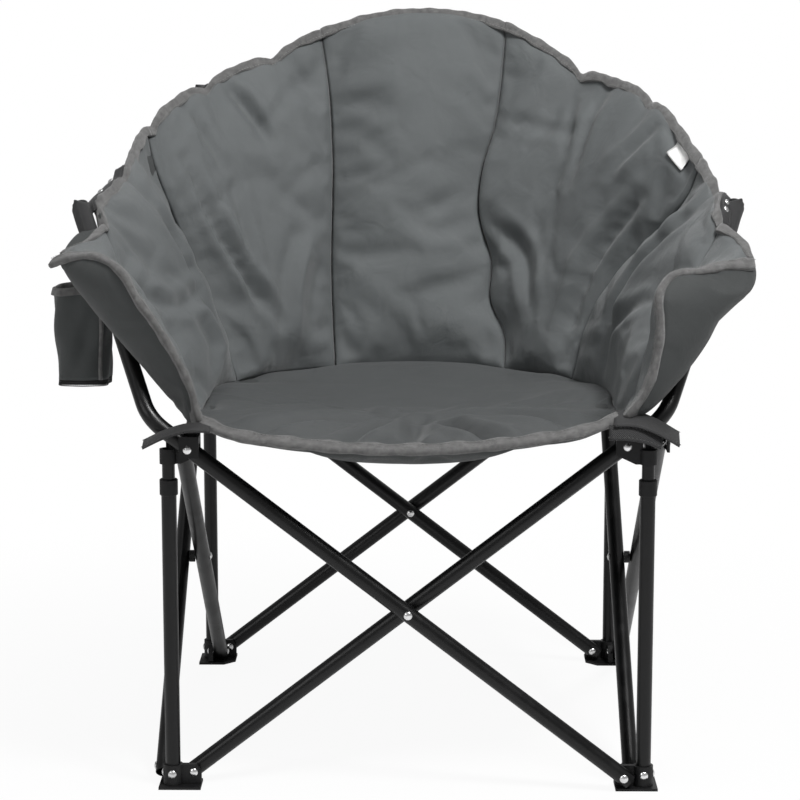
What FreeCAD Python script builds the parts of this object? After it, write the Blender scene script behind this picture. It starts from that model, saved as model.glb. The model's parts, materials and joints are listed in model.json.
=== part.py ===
import FreeCAD, Part
import math
import os
import Sketcher

V = FreeCAD.Vector

# Driving sizes in millimetres, with angles in degrees.
sizes = {
    # quad-fold steel frame
    "pivot_span": 500, "pivot_rise": 387, "foot_pivot_z": 17, "pivot_inset": 24,
    "tube_od": 19, "tube_wall": 1.2, "tube_gap": 7, "tube_end": 9.5,
    "rivet_d": 5, "rivet_head_d": 9.6, "rivet_head_h": 2, "rivet_play": 0.05, "side_play": 0.3,
    "spacer_od": 15,
    # moulded feet
    "foot_base": 3, "foot_back": 16, "foot_reach": 33, "foot_height": 27, "foot_chamfer": 5,
    "socket_wall": 2.7,
    # telescoping corner posts
    "post_od": 17.5, "post_wall": 1, "post_top": 362, "slide_play": 0.4, "inner_wall": 1,
    "inner_bottom": 60, "collar_od": 21, "collar_below": 15, "collar_lip": 4,
    # moulded hubs
    "hub_top": 15, "hub_bottom": 20, "hub_reach": 37, "hub_wall": 3, "hub_shoulder": 3,
    "hub_notch": 3.5, "rib_drop": 9,
    # arm tubes beyond the front hubs, measured from the hub pivot
    "arm_run": 56, "arm_bend": 50, "arm_out": 141, "arm_back": 180, "arm_rise": 258,
    "cap_depth": 12, "cap_flange": 3,
    # back uprights, measured from the rear post axis
    "upright_bend_z": 440, "upright_bend": 120, "upright_out": 8, "upright_back": 30, "upright_top": 784,
    # seat pad
    "seat_radius": 248, "seat_front_half": 220, "seat_centre_y": -48, "seat_corner_y": -290,
    "seat_front_y": -345, "seat_lip_half": 136, "seat_lip_drop": 6, "seat_side_y": -193,
    "seat_dish": 12, "seat_thick": 34,
    # bowl wall: rim points of its seams, as half widths
    "top_y": 347, "top_z": 882, "crest_share": 0.55,
    "channel_rim_x": 122, "channel_rim_y": 340, "channel_rim_z": 858,
    "shoulder_rim_x": 340, "shoulder_rim_y": 100, "shoulder_rim_z": 734,
    "pole_rim_x": 358, "pole_rim_y": -158, "pole_rim_z": 640,
    "front_rim_x": 328, "front_rim_y": -284, "front_rim_z": 606,
    # bowl wall: foot of its seams
    "channel_foot_x": 112, "shoulder_foot_angle": 61.5, "pole_foot_x": 243, "pole_foot_y": -266,
    "front_foot_x": 238, "front_foot_y": -296, "front_foot_rise": 12,
    "wall_fullness": 0.35, "flare": 62, "back_swell": 45, "side_swell": 15,
    "pad_thick": 42, "flare_thick": 26, "pad_edge": 3, "pad_least": 4.5, "seam_gap": 0.5,
    # bindings, webbing and trim
    "binding_d": 8, "binding_low": 0.04, "binding_high": 0.97,
    "webbing": 2.5, "pocket_length": 52, "strap_width": 28, "web_share": 0.87, "tab_depth": 32,
    "cup_od": 70, "cup_height": 118, "cup_share": 0.78, "cup_out": 20, "cup_drop": 94, "cup_ring": 5,
    "label_width": 22, "label_height": 30, "label_thick": 1, "label_share": 0.95, "label_lean": 37,
}

doc = FreeCAD.newDocument("padded_camp_chair")
sheet = doc.addObject("Spreadsheet::Sheet", "Sizes")
for row, (alias, value) in enumerate(sizes.items(), start=1):
    sheet.set(f"A{row}", alias)
    sheet.set(f"B{row}", str(value))
    sheet.setAlias(f"B{row}", alias)
doc.recompute()

subparts = []


def mm(alias):
    return float(sheet.get(alias))


def keep(obj, label, placement=None):
    obj.Label = label
    if placement is not None:
        obj.Placement = placement
    subparts.append(obj)
    return obj


def feature(label, shape, placement=None):
    obj = doc.addObject("Part::Feature", label)
    obj.Shape = shape
    return keep(obj, label, placement)


# Values that follow from the driving sizes
half_span = mm("pivot_span") / 2
post_offset = half_span + mm("pivot_inset")
foot_z = mm("foot_pivot_z")
hub_z = foot_z + mm("pivot_rise")
tube_r = mm("tube_od") / 2
tube_slope = math.atan2(mm("pivot_rise"), mm("pivot_span"))
plane_offset = (mm("tube_od") + mm("tube_gap")) / 2
rivet_r = mm("rivet_d") / 2
inner_od = mm("post_od") - 2 * mm("post_wall") - 2 * mm("slide_play")
ear = mm("tube_gap") - 2 * mm("side_play")
wall_inside = plane_offset + tube_r + mm("side_play")
tab_z = hub_z + mm("hub_top")
wall_foot_z = tab_z + mm("webbing") + mm("seam_gap")
seat_edge_z = wall_foot_z - mm("seam_gap") - mm("pad_edge") / 2

corners = ["front_left", "front_right", "rear_right", "rear_left"]
sides = ["front", "right", "rear", "left"]


def corner_placement(index, z):
    turn = FreeCAD.Rotation(V(0, 0, 1), 90 * index)
    return FreeCAD.Placement(turn.multVec(V(-post_offset, -post_offset, z)), turn)


def side_placement(index):
    return FreeCAD.Placement(V(0, 0, 0), FreeCAD.Rotation(V(0, 0, 1), 90 * index))


# Sketch helpers: every dimension is bound to the sheet
def new_body(name):
    return doc.addObject("PartDesign::Body", name)


def new_sketch(body, role, name, offset=None):
    sketch = body.newObject("Sketcher::SketchObject", name)
    plane = [f for f in body.Origin.OriginFeatures if f.Role == role][0]
    sketch.AttachmentSupport = [(plane, "")]
    sketch.MapMode = "FlatFace"
    if offset:
        sketch.setExpression("AttachmentOffset.Base.z", offset)
    return sketch


def bind(sketch, constraint, expression):
    index = sketch.addConstraint(constraint)
    sketch.setExpression(f"Constraints[{index}]", expression)


def circle(sketch, radius, across="0", up="0"):
    index = sketch.addGeometry(Part.Circle(V(0, 0, 0), V(0, 0, 1), 1), False)
    bind(sketch, Sketcher.Constraint("Radius", index, 1), radius)
    bind(sketch, Sketcher.Constraint("DistanceX", -1, 1, index, 3, 1), across)
    bind(sketch, Sketcher.Constraint("DistanceY", -1, 1, index, 3, 1), up)


def polygon(sketch, corners_xy):
    count = len(corners_xy)
    start = [V(math.cos(2 * math.pi * i / count), math.sin(2 * math.pi * i / count), 0) for i in range(count)]
    first = sketch.GeometryCount
    for i in range(count):
        sketch.addGeometry(Part.LineSegment(start[i], start[(i + 1) % count]), False)
    for i in range(count):
        sketch.addConstraint(Sketcher.Constraint("Coincident", first + i, 2, first + (i + 1) % count, 1))
    for i, (across, up) in enumerate(corners_xy):
        bind(sketch, Sketcher.Constraint("DistanceX", -1, 1, first + i, 1, 1), across)
        bind(sketch, Sketcher.Constraint("DistanceY", -1, 1, first + i, 1, 1), up)


def pad(body, sketch, length, both=False, back=False):
    step = body.newObject("PartDesign::Pad", sketch.Name + "_pad")
    step.Profile = sketch
    step.setExpression("Length", length)
    step.Midplane = both
    step.Reversed = back
    sketch.Visibility = False
    return step


def pocket(body, sketch, length, both=False, back=False):
    step = body.newObject("PartDesign::Pocket", sketch.Name + "_cut")
    step.Profile = sketch
    step.setExpression("Length", length)
    step.Midplane = both
    step.Reversed = back
    sketch.Visibility = False
    return step


# Moulded foot: base plate, post socket and one pivot ear along each side of the frame
ear_size = "(Sizes.tube_gap - 2 * Sizes.side_play)"
bore = "(Sizes.post_od / 2)"
socket = "(Sizes.post_od / 2 + Sizes.socket_wall)"


def foot(index):
    body = new_body("foot_" + corners[index])
    plan = new_sketch(body, "XY_Plane", "foot_plan")
    lip, reach, cut = "-Sizes.foot_back", "Sizes.foot_reach", "(Sizes.foot_reach - 3 * Sizes.foot_chamfer)"
    polygon(plan, [(lip, lip), (reach, lip), (reach, cut), (cut, reach), (lip, reach)])
    pad(body, plan, "Sizes.foot_base")
    boss = new_sketch(body, "XY_Plane", "foot_socket")
    circle(boss, socket)
    pad(body, boss, "Sizes.foot_height")
    for plane, name in (("XZ_Plane", "foot_ear_along"), ("YZ_Plane", "foot_ear_across")):
        side = new_sketch(body, plane, name)
        polygon(side, [("0", "0"), ("Sizes.foot_reach - Sizes.foot_chamfer", "0"),
                       (reach, "Sizes.foot_chamfer"), (reach, "Sizes.foot_height - 2 * Sizes.foot_chamfer"),
                       ("Sizes.foot_reach - Sizes.foot_chamfer", "Sizes.foot_height"),
                       ("0", "Sizes.foot_height")])
        pad(body, side, ear_size, both=True)
    seat = new_sketch(body, "XY_Plane", "foot_bore", "Sizes.foot_base")
    circle(seat, bore)
    pocket(body, seat, "Sizes.foot_height", back=True)
    for plane, name in (("XZ_Plane", "foot_hole_along"), ("YZ_Plane", "foot_hole_across")):
        hole = new_sketch(body, plane, name)
        circle(hole, "Sizes.rivet_d / 2", "Sizes.pivot_inset", "Sizes.foot_pivot_z")
        pocket(body, hole, ear_size + " * 2", both=True)
    for plane, name, back in (("XZ_Plane", "foot_pin_along", True), ("YZ_Plane", "foot_pin_across", False)):
        hole = new_sketch(body, plane, name)
        circle(hole, "Sizes.rivet_d / 2", "0", "Sizes.foot_pivot_z")
        pocket(body, hole, "2 * " + socket, back=back)
    keep(body, "foot_" + corners[index], corner_placement(index, 0))


# Moulded hub: post socket, pivot ears and the cheek that closes each ear into a clevis
def hub(index):
    body = new_body("hub_" + corners[index])
    boss = new_sketch(body, "XY_Plane", "hub_socket", "-Sizes.hub_bottom")
    circle(boss, inner_size + " / 2 + Sizes.socket_wall")
    pad(body, boss, "Sizes.hub_bottom - Sizes.hub_shoulder")
    reach, top, low = "Sizes.hub_reach", "Sizes.hub_top", "-Sizes.hub_bottom"
    inside = "((Sizes.tube_od + Sizes.tube_gap) / 2 + Sizes.tube_od / 2 + Sizes.side_play)"
    near, rib = "(Sizes.pivot_inset - Sizes.tube_od / 2)", "(Sizes.hub_reach - Sizes.hub_wall)"
    for plane in ("XZ_Plane", "YZ_Plane"):
        side = new_sketch(body, plane, "hub_ear")
        inner_end = [(inside, top), (inside, "Sizes.hub_notch"), ("0", "Sizes.hub_notch")]
        if plane == "YZ_Plane":
            inner_end = [("0", top)]
        polygon(side, [("0", low), (near, low), (reach, "-Sizes.tube_od / 2"), (reach, top)] + inner_end)
        pad(body, side, ear_size, both=True)
        cheek = new_sketch(body, plane, "hub_cheek", inside)
        below = "-Sizes.tube_od / 2"
        polygon(cheek, [(near, below), (reach, below), (reach, top), (near, top)])
        pad(body, cheek, "Sizes.hub_wall")
        bridge = new_sketch(body, plane, "hub_bridge")
        polygon(bridge, [(rib, "Sizes.hub_top - Sizes.rib_drop"), (reach, "Sizes.hub_top - Sizes.rib_drop"),
                         (reach, top), (rib, top)])
        pad(body, bridge, inside + " + Sizes.hub_wall")
    post = new_sketch(body, "XY_Plane", "hub_bore", low)
    circle(post, inner_size + " / 2")
    pocket(body, post, "Sizes.hub_bottom + 2 * Sizes.hub_top", back=True)
    for plane in ("XZ_Plane", "YZ_Plane"):
        hole = new_sketch(body, plane, "hub_hole", "-" + ear_size)
        circle(hole, "Sizes.rivet_d / 2", "Sizes.pivot_inset")
        pocket(body, hole, ear_size + " + " + inside + " + 2 * Sizes.hub_wall", back=True)
    keep(body, "hub_" + corners[index], corner_placement(index, hub_z))


# Round steel tube along +Z, cross-drilled along Y at the given heights
def straight_tube(label, diameter, wall, length, holes, placement):
    body = new_body(label)
    ring = new_sketch(body, "XY_Plane", "tube_ring")
    circle(ring, f"{diameter} / 2")
    circle(ring, f"{diameter} / 2 - {wall}")
    pad(body, ring, length)
    for up, radius in holes:
        drill = new_sketch(body, "XZ_Plane", "tube_hole")
        circle(drill, radius, "0", up)
        pocket(body, drill, f"2 * {diameter}", both=True)
    keep(body, label, placement)


inner_size = "(Sizes.post_od - 2 * Sizes.post_wall - 2 * Sizes.slide_play)"
hub_height = "Sizes.foot_pivot_z + Sizes.pivot_rise"
play_r = "Sizes.rivet_d / 2 + Sizes.rivet_play"
pivot_to_pivot = "sqrt(Sizes.pivot_span ^ 2 + Sizes.pivot_rise ^ 2)"


def cross_tube(index, inner):
    lean = math.pi / 2 - tube_slope
    start = V(-half_span, -post_offset + plane_offset, foot_z)
    if not inner:
        lean = -lean
        start = V(half_span, -post_offset - plane_offset, foot_z)
    along = V(math.sin(lean), 0, math.cos(lean))
    local = FreeCAD.Placement(start - along * mm("tube_end"),
                              FreeCAD.Rotation(V(0, 1, 0), math.degrees(lean)))
    middle = play_r if inner else "Sizes.rivet_d / 2"
    holes = [("Sizes.tube_end", play_r), (f"Sizes.tube_end + {pivot_to_pivot} / 2", middle),
             (f"Sizes.tube_end + {pivot_to_pivot}", play_r)]
    label = f"cross_tube_{sides[index]}_" + ("inner" if inner else "outer")
    straight_tube(label, "Sizes.tube_od", "Sizes.tube_wall", f"{pivot_to_pivot} + 2 * Sizes.tube_end",
                  holes, side_placement(index).multiply(local))


# Path of straight runs with one tangent arc at each inner point
def bent_path(points, radius):
    edges = []
    start = points[0]
    for before, at, after in zip(points, points[1:], points[2:]):
        u = (before - at).normalize()
        w = (after - at).normalize()
        half_turn = (math.pi - u.getAngle(w)) / 2
        setback = radius * math.tan(half_turn)
        middle = (u + w).normalize() * (radius / math.cos(half_turn) - radius)
        first, last = at + u * setback, at + w * setback
        edges.append(Part.makeLine(start, first))
        edges.append(Part.Arc(first, at + middle, last).toShape())
        start = last
    edges.append(Part.makeLine(start, points[-1]))
    return Part.Wire(edges)


def swept(path, radius):
    start = path.Edges[0]
    direction = start.tangentAt(start.FirstParameter)
    ring = Part.Wire(Part.makeCircle(radius, start.valueAt(start.FirstParameter), direction))
    return path.makePipeShell([ring], True, False)


def bent_tube(points, radius, diameter, wall):
    path = bent_path(points, radius)
    return swept(path, diameter / 2).cut(swept(path, diameter / 2 - wall))


def rod(start, end, radius):
    return Part.makeCylinder(radius, (end - start).Length, start, end - start)


# Front cross tubes run on past the hubs as arm tubes; the side is -1 for the left arm
def arm_points(side):
    y = -post_offset + (plane_offset if side > 0 else -plane_offset)
    low = V(-side * half_span, y, foot_z)
    high = V(side * half_span, y, hub_z)
    along = (high - low).normalize()
    tip = high + V(side * mm("arm_out"), mm("arm_back"), mm("arm_rise"))
    return low, high, along, [low - along * mm("tube_end"), high + along * mm("arm_run"), tip]


def arm_tube(side):
    low, high, along, points = arm_points(side)
    shape = bent_tube(points, mm("arm_bend"), mm("tube_od"), mm("tube_wall"))
    reach = V(0, mm("tube_od"), 0)
    for at, radius in ((low, rivet_r + mm("rivet_play")), (high, rivet_r + mm("rivet_play")),
                       ((low + high) / 2, rivet_r + (mm("rivet_play") if side > 0 else 0))):
        shape = shape.cut(rod(at - reach, at + reach, radius))
    feature("cross_tube_front_" + ("inner" if side > 0 else "outer"), shape)
    tip = points[-1]
    out = (points[-1] - points[-2]).normalize()
    plug = rod(tip - out * mm("cap_depth"), tip, tube_r - mm("tube_wall"))
    head = rod(tip, tip + out * mm("cap_flange"), tube_r)
    name = "left" if side < 0 else "right"
    feature("arm_end_cap_" + name, plug.fuse(head).removeSplitter())


# Rivet along Y from one face to another, with a domed head on each
def rivet(front, back):
    head_r, head_h = mm("rivet_head_d") / 2, mm("rivet_head_h")
    crown = (head_r ** 2 + head_h ** 2) / (2 * head_h)
    lean = math.asin(head_r / crown) / 2
    drop = crown * (1 - math.cos(lean))
    side = crown * math.sin(lean)
    outline = [
        Part.Arc(V(0, front - head_h, 0), V(side, front - head_h + drop, 0), V(head_r, front, 0)).toShape(),
        Part.makeLine(V(head_r, front, 0), V(rivet_r, front, 0)),
        Part.makeLine(V(rivet_r, front, 0), V(rivet_r, back, 0)),
        Part.makeLine(V(rivet_r, back, 0), V(head_r, back, 0)),
        Part.Arc(V(head_r, back, 0), V(side, back + head_h - drop, 0), V(0, back + head_h, 0)).toShape(),
        Part.makeLine(V(0, back + head_h, 0), V(0, front - head_h, 0)),
    ]
    return Part.Face(Part.Wire(outline)).revolve(V(0, 0, 0), V(0, 1, 0), 360)


# Blind rivet whose head sits on a face and whose shank ends inside the post wall
def blind_rivet(face, depth):
    head_d, head_h = mm("rivet_head_d"), mm("rivet_head_h")
    kept = Part.makeBox(2 * head_d, depth + 2 * head_h, 2 * head_d, V(-head_d, face - 2 * head_h, -head_d))
    return rivet(face, face + depth).common(kept)


def moved(shape, position, turn=0):
    copy = shape.copy()
    copy.Placement = FreeCAD.Placement(position, FreeCAD.Rotation(V(0, 0, 1), turn))
    return copy


def foot_rivets(index):
    inset, tip = mm("pivot_inset"), plane_offset + tube_r + mm("side_play")
    along = moved(rivet(-ear / 2, tip), V(inset, 0, foot_z))
    across = moved(rivet(-ear / 2, tip), V(0, inset, foot_z), 90)
    pin_depth = mm("socket_wall") + mm("post_wall")
    face = mm("post_od") / 2 + mm("socket_wall")
    pins = [moved(blind_rivet(-face, pin_depth), V(0, 0, foot_z), turn) for turn in (0, -90)]
    feature("foot_rivets_" + corners[index], Part.makeCompound([along, across] + pins),
            corner_placement(index, 0))


def hub_rivets(index):
    inset, tip = mm("pivot_inset"), wall_inside + mm("hub_wall")
    along = moved(rivet(-tip, ear / 2), V(inset, 0, 0))
    across = moved(rivet(-tip, ear / 2), V(0, inset, 0), 90)
    pair = Part.makeCompound([along, across])
    feature("hub_rivets_" + corners[index], pair, corner_placement(index, hub_z))


def cross_hardware(index):
    middle_z = (foot_z + hub_z) / 2
    tip = plane_offset + tube_r
    middle = FreeCAD.Placement(V(0, -post_offset, middle_z), FreeCAD.Rotation())
    place = side_placement(index).multiply(middle)
    feature("cross_rivet_" + sides[index], rivet(-tip, tip + mm("side_play")), place)
    front, back = -mm("tube_gap") / 2, mm("tube_gap") / 2 - mm("side_play")
    ring = rod(V(0, front, 0), V(0, back, 0), mm("spacer_od") / 2)
    ring = ring.cut(rod(V(0, front, 0), V(0, back, 0), rivet_r + mm("rivet_play")))
    feature("cross_spacer_" + sides[index], ring, place)


def post(index):
    name = corners[index]
    straight_tube("lower_post_" + name, "Sizes.post_od", "Sizes.post_wall",
                  "Sizes.post_top - Sizes.foot_base", [], corner_placement(index, mm("foot_base")))
    drill = doc.getObject("lower_post_" + name)
    for plane, back in (("XZ_Plane", True), ("YZ_Plane", False)):
        hole = new_sketch(drill, plane, "post_pin")
        circle(hole, "Sizes.rivet_d / 2", "0", "Sizes.foot_pivot_z - Sizes.foot_base")
        pocket(drill, hole, "Sizes.post_od", back=back)
    body = new_body("post_collar_" + name)
    ring = new_sketch(body, "XZ_Plane", "collar_section")
    outer, inner = "Sizes.collar_od / 2", "Sizes.post_od / 2"
    lip = "(Sizes.post_od / 2 - Sizes.post_wall)"
    low, top = "-Sizes.collar_below", "Sizes.collar_lip"
    polygon(ring, [(inner, low), (outer + " - Sizes.post_wall", low), (outer, low + " + Sizes.post_wall"),
                   (outer, top + " - Sizes.post_wall"), (outer + " - Sizes.post_wall", top), (lip, top),
                   (lip, "0"), (inner, "0")])
    turn = body.newObject("PartDesign::Revolution", "collar_turn")
    turn.Profile = ring
    turn.ReferenceAxis = (ring, ["V_Axis"])
    turn.Angle = 360
    keep(body, "post_collar_" + name, corner_placement(index, mm("post_top")))
    if name.startswith("front"):
        straight_tube("inner_post_" + name, inner_size, "Sizes.inner_wall",
                      hub_height + " - Sizes.hub_shoulder - Sizes.hub_wall - Sizes.inner_bottom",
                      [], corner_placement(index, mm("inner_bottom")))


def upright_points(side):
    x, y = side * post_offset, post_offset
    return [V(x, y, mm("inner_bottom")), V(x, y, mm("upright_bend_z")),
            V(x + side * mm("upright_out"), y + mm("upright_back"), mm("upright_top"))]


def upright(side):
    shape = bent_tube(upright_points(side), mm("upright_bend"), inner_od, mm("inner_wall"))
    feature("back_upright_" + ("left" if side < 0 else "right"), shape)


# Seams of the bowl wall, from the seat (share 0) to the rim (share 1); side is -1 on the left
def seat_circle(angle):
    turn = math.radians(angle)
    return mm("seat_radius") * math.sin(turn), mm("seat_centre_y") + mm("seat_radius") * math.cos(turn)


def seat_sagitta(angle):
    return mm("seat_radius") * (1 - math.cos(math.radians(angle) / 2))


def channel_angle():
    return math.degrees(math.asin(mm("channel_foot_x") / mm("seat_radius")))


def seam_ends(name):
    rim = V(mm(name + "_rim_x"), mm(name + "_rim_y"), mm(name + "_rim_z"))
    if name == "channel":
        x, y = seat_circle(channel_angle())
    elif name == "shoulder":
        x, y = seat_circle(mm("shoulder_foot_angle"))
    else:
        x, y = mm(name + "_foot_x"), mm(name + "_foot_y")
    rise = mm("front_foot_rise") if name == "front" else 0
    return V(x, y, wall_foot_z + rise), rim


def seam(name, side, share):
    base, rim = seam_ends(name)
    fullness = mm("wall_fullness") if name in ("channel", "shoulder") else 0
    out = share * (1 + fullness * (1 - share))
    return V(side * (base.x + (rim.x - base.x) * out), base.y + (rim.y - base.y) * out,
             base.z + (rim.z - base.z) * share)


# How full the padding is at five levels of the wall, and along the rear of the seat
levels = [0, 0.25, 0.55, 0.85, 1]
padding = [0.15, 0.8, 1, 0.75, 0.15]
seat_angles = [64, 44, 26, 10]
seat_padding = [0.95, 0.8, 0.5, 0.2]
lip_padding = 0.15
corner_padding = 0.7

# Way that each pair of wall pads bulges, as (outwards, backwards, upwards)
back_bulge = (0.5, 0.85, 0.1)
side_bulge = (1, 0.25, 0)
arm_bulge = (1, -0.15, -0.25)


# Lens-shaped section between two seam points: crowned both ways and thin at the seams
def lens(left, right, outward, swell, thick):
    chord = right - left
    along = V(chord).normalize()
    out = outward - along * outward.dot(along)
    out.normalize()
    edge = out * (mm("pad_edge") / 2)
    middle = (left + right) / 2 + out * swell
    crown = out * (thick / 2)
    inner = Part.Arc(left - edge, middle - crown, right - edge).toShape()
    outer = Part.Arc(right + edge, middle + crown, left + edge).toShape()
    return Part.Wire([inner, Part.makeLine(right - edge, right + edge), outer,
                      Part.makeLine(left + edge, left - edge)])


def handed(bulge, side):
    return V(side * bulge[0], bulge[1], bulge[2])


# Wall pads as (name, left seam, right seam, outward direction, swell at seat and rim, thickness)
def wall_pads():
    full, thin = mm("pad_thick"), mm("flare_thick")
    turn = channel_angle()
    crest = mm("top_y") - mm("channel_rim_y")
    pads = [("back_pad_center", ("channel", -1), ("channel", 1), V(0, 1, 0), seat_sagitta(2 * turn), crest,
             full)]
    for side, name in ((-1, "left"), (1, "right")):
        pads.append(("back_pad_" + name, ("channel", side), ("shoulder", side), handed(back_bulge, side),
                     seat_sagitta(mm("shoulder_foot_angle") - turn), mm("back_swell"), full))
        pads.append(("side_pad_" + name, ("shoulder", side), ("pole", side), handed(side_bulge, side),
                     mm("side_swell"), mm("side_swell"), full))
        pads.append(("arm_pad_" + name, ("pole", side), ("front", side), handed(arm_bulge, side),
                     mm("pad_edge"), mm("flare"), thin))
    return pads


def facing(left, right, outward):
    along = (right - left).normalize()
    return (outward - along * outward.dot(along)).normalize()


# Distance a pad stops short of a shared seam so that the two thin edges stay apart
def seam_inset(pads, seam_key, share):
    normals = []
    for _, left, right, outward, _, _, _ in pads:
        if seam_key in (left, right):
            normals.append(facing(seam(*left, share), seam(*right, share), outward))
    if len(normals) < 2:
        return 0
    half = normals[0].getAngle(normals[1]) / 2
    return mm("pad_edge") / 2 * math.sin(half) + mm("seam_gap") / 2


def wall_pad(pads, name, left, right, outward, swell_low, swell_rim, thick):
    sections = []
    for share, fill in zip(levels, padding):
        start, end = seam(*left, share), seam(*right, share)
        along = (end - start).normalize()
        start = start + along * seam_inset(pads, left, share)
        end = end - along * seam_inset(pads, right, share)
        swell = swell_low + (swell_rim - swell_low) * share ** 2
        depth = max(thick * fill, mm("pad_least"))
        sections.append(lens(start, end, outward, swell, depth))
    shape = Part.makeLoft(sections, True, False)
    if name == "back_pad_center":
        lift = V(0, mm("top_y") - mm("channel_rim_y"), mm("top_z") - mm("channel_rim_z"))
        narrow = (end - start) * ((1 - mm("crest_share")) / 2)
        crest = lens(start + narrow + lift, end - narrow + lift, outward, swell_rim / 2, mm("pad_least"))
        shape = shape.fuse(Part.makeLoft([sections[-1], crest], True, True))
    feature(name, shape)


# Seat pad: dished lens sections from the front lip back to the rear seam
def seat_pad():
    corner_y, centre_y, radius = mm("seat_corner_y"), mm("seat_centre_y"), mm("seat_radius")
    lip_z = seat_edge_z - mm("seat_lip_drop")
    sections = [(mm("seat_front_y"), mm("seat_lip_half"), lip_z, lip_padding),
                (corner_y, mm("seat_front_half"), (lip_z + seat_edge_z) / 2, corner_padding),
                (mm("seat_side_y"), radius - mm("pad_edge"), seat_edge_z, 1),
                (centre_y, radius, seat_edge_z, 1)]
    for angle, fill in zip(seat_angles, seat_padding):
        half, y = seat_circle(angle)
        sections.append((y, half, seat_edge_z, fill))
    wires = []
    for y, half, z, fill in sections:
        depth = max(mm("seat_thick") * fill, mm("pad_least"))
        swell = mm("seat_dish") * fill + depth / 2
        wires.append(lens(V(-half, y, z), V(half, y, z), V(0, 0, -1), swell, depth))
    feature("seat_pad", Part.makeLoft(wires, True, False).cut(hub_rooms()))


# Room round each front hub, which the seat pad is cut back to where it would reach it
def hub_rooms():
    reach = mm("hub_reach") + mm("side_play")
    depth = mm("hub_top") + mm("hub_bottom") + 2 * mm("side_play")
    rooms = []
    for side in (-1, 1):
        low = V(side * post_offset - reach, -post_offset - reach, tab_z + mm("side_play") - depth)
        rooms.append(Part.makeBox(2 * reach, 2 * reach, depth, low))
    return rooms


# Webbing sleeve, closed at its top, over the end of a pole
def sleeve(tip, along, radius, cap):
    bore = radius + mm("side_play")
    base = tip - along * mm("pocket_length")
    inside = rod(base - along * mm("pocket_length"), tip + along * (cap + mm("side_play")), bore)
    outside = rod(base, tip + along * (cap + mm("side_play") + mm("webbing")), bore + mm("webbing"))
    return outside, inside


# Flat web that sews a sleeve to a seam's rim
def pocket_web(start, end, along):
    towards = end - start
    length = towards.Length - mm("pad_edge")
    towards.normalize()
    across = towards.cross(along).normalize() * (mm("webbing") / 2)
    up = towards.cross(across).normalize() * (mm("strap_width") / 2)
    corners_3d = [start + across + up, start + across - up, start - across - up, start - across + up]
    face = Part.Face(Part.makePolygon(corners_3d + corners_3d[:1]))
    return face.extrude(towards * length)


def pole_pockets(pads):
    pockets = []
    for side in (-1, 1):
        arm = arm_points(side)[3]
        back = upright_points(side)
        share = mm("web_share")
        behind = (seam("channel", side, share) + seam("shoulder", side, share)) / 2
        for points, radius, cap, sewn_to in ((arm, tube_r, mm("cap_flange"), seam("pole", side, share)),
                                             (back, inner_od / 2, 0, behind)):
            tip = points[-1]
            along = (points[-1] - points[-2]).normalize()
            outside, inside = sleeve(tip, along, radius, cap)
            web = pocket_web(tip - along * mm("strap_width"), sewn_to, along)
            sewn = outside.fuse(web).cut([inside] + pads)
            pockets.append(sewn.Solids[0])
    feature("pole_pockets", Part.makeCompound(pockets))


# Webbing tabs from the hub tops to the corners of the bowl
def corner_tabs():
    tabs = []
    depth, thick = mm("tab_depth"), mm("webbing")
    for side in (-1, 1):
        inner_x, outer_x = mm("pole_foot_x"), post_offset + rivet_r
        beside = -post_offset + side * (plane_offset - tube_r - mm("side_play"))
        low_x, low_y = (inner_x, beside - depth) if side > 0 else (-outer_x, beside)
        tabs.append(Part.makeBox(outer_x - inner_x, depth, thick, V(low_x, low_y, tab_z)))
        end = V(side * half_span, half_span, tab_z)
        centre = V(0, mm("seat_centre_y"), tab_z)
        towards = (end - centre).normalize()
        start = centre + towards * (mm("seat_radius") + mm("pad_edge"))
        across = towards.cross(V(0, 0, 1)) * (depth / 2)
        strip = Part.makePolygon([start + across, end + across, end - across, start - across, start + across])
        tabs.append(Part.Face(strip).extrude(V(0, 0, thick)))
    feature("corner_tabs", Part.makeCompound(tabs))


def pipe(edge, diameter):
    ring = Part.Wire(Part.makeCircle(diameter / 2, edge.valueAt(edge.FirstParameter),
                                     edge.tangentAt(edge.FirstParameter)))
    return Part.Wire(edge).makePipeShell([ring], True, False)


# Rim arc of one wall pad, lifted clear of the pad by half the binding
def rim_arc(left, right, outward, swell, lift, trim=0):
    start, end = seam(*left, 1), seam(*right, 1)
    along = (end - start).normalize()
    out = facing(start, end, outward)
    up = out.cross(along)
    if up.z < 0:
        up = up * -1
    shift = up * lift
    return Part.Arc(start + along * trim + shift, (start + end) / 2 + out * swell + shift,
                    end - along * trim + shift)


# Bound edge: a fabric cord along the rim and down both front edges
def rim_binding(pads):
    lift = mm("binding_d") / 2 + mm("side_play")
    cords = []
    for name, left, right, outward, _, swell, _ in pads:
        if name != "back_pad_center":
            cords.append(pipe(rim_arc(left, right, outward, swell, lift, mm("binding_d") / 2).toShape(),
                              mm("binding_d")))
    for side in (-1, 1):
        low, high = seam("front", side, mm("binding_low")), seam("front", side, mm("binding_high"))
        ahead = (seam("front", side, 0.5) - seam("pole", side, 0.5)).normalize() * (lift + mm("seam_gap"))
        cords.append(pipe(Part.makeLine(low + ahead, high + ahead), mm("binding_d")))
    feature("rim_binding", Part.makeCompound(cords))


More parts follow.
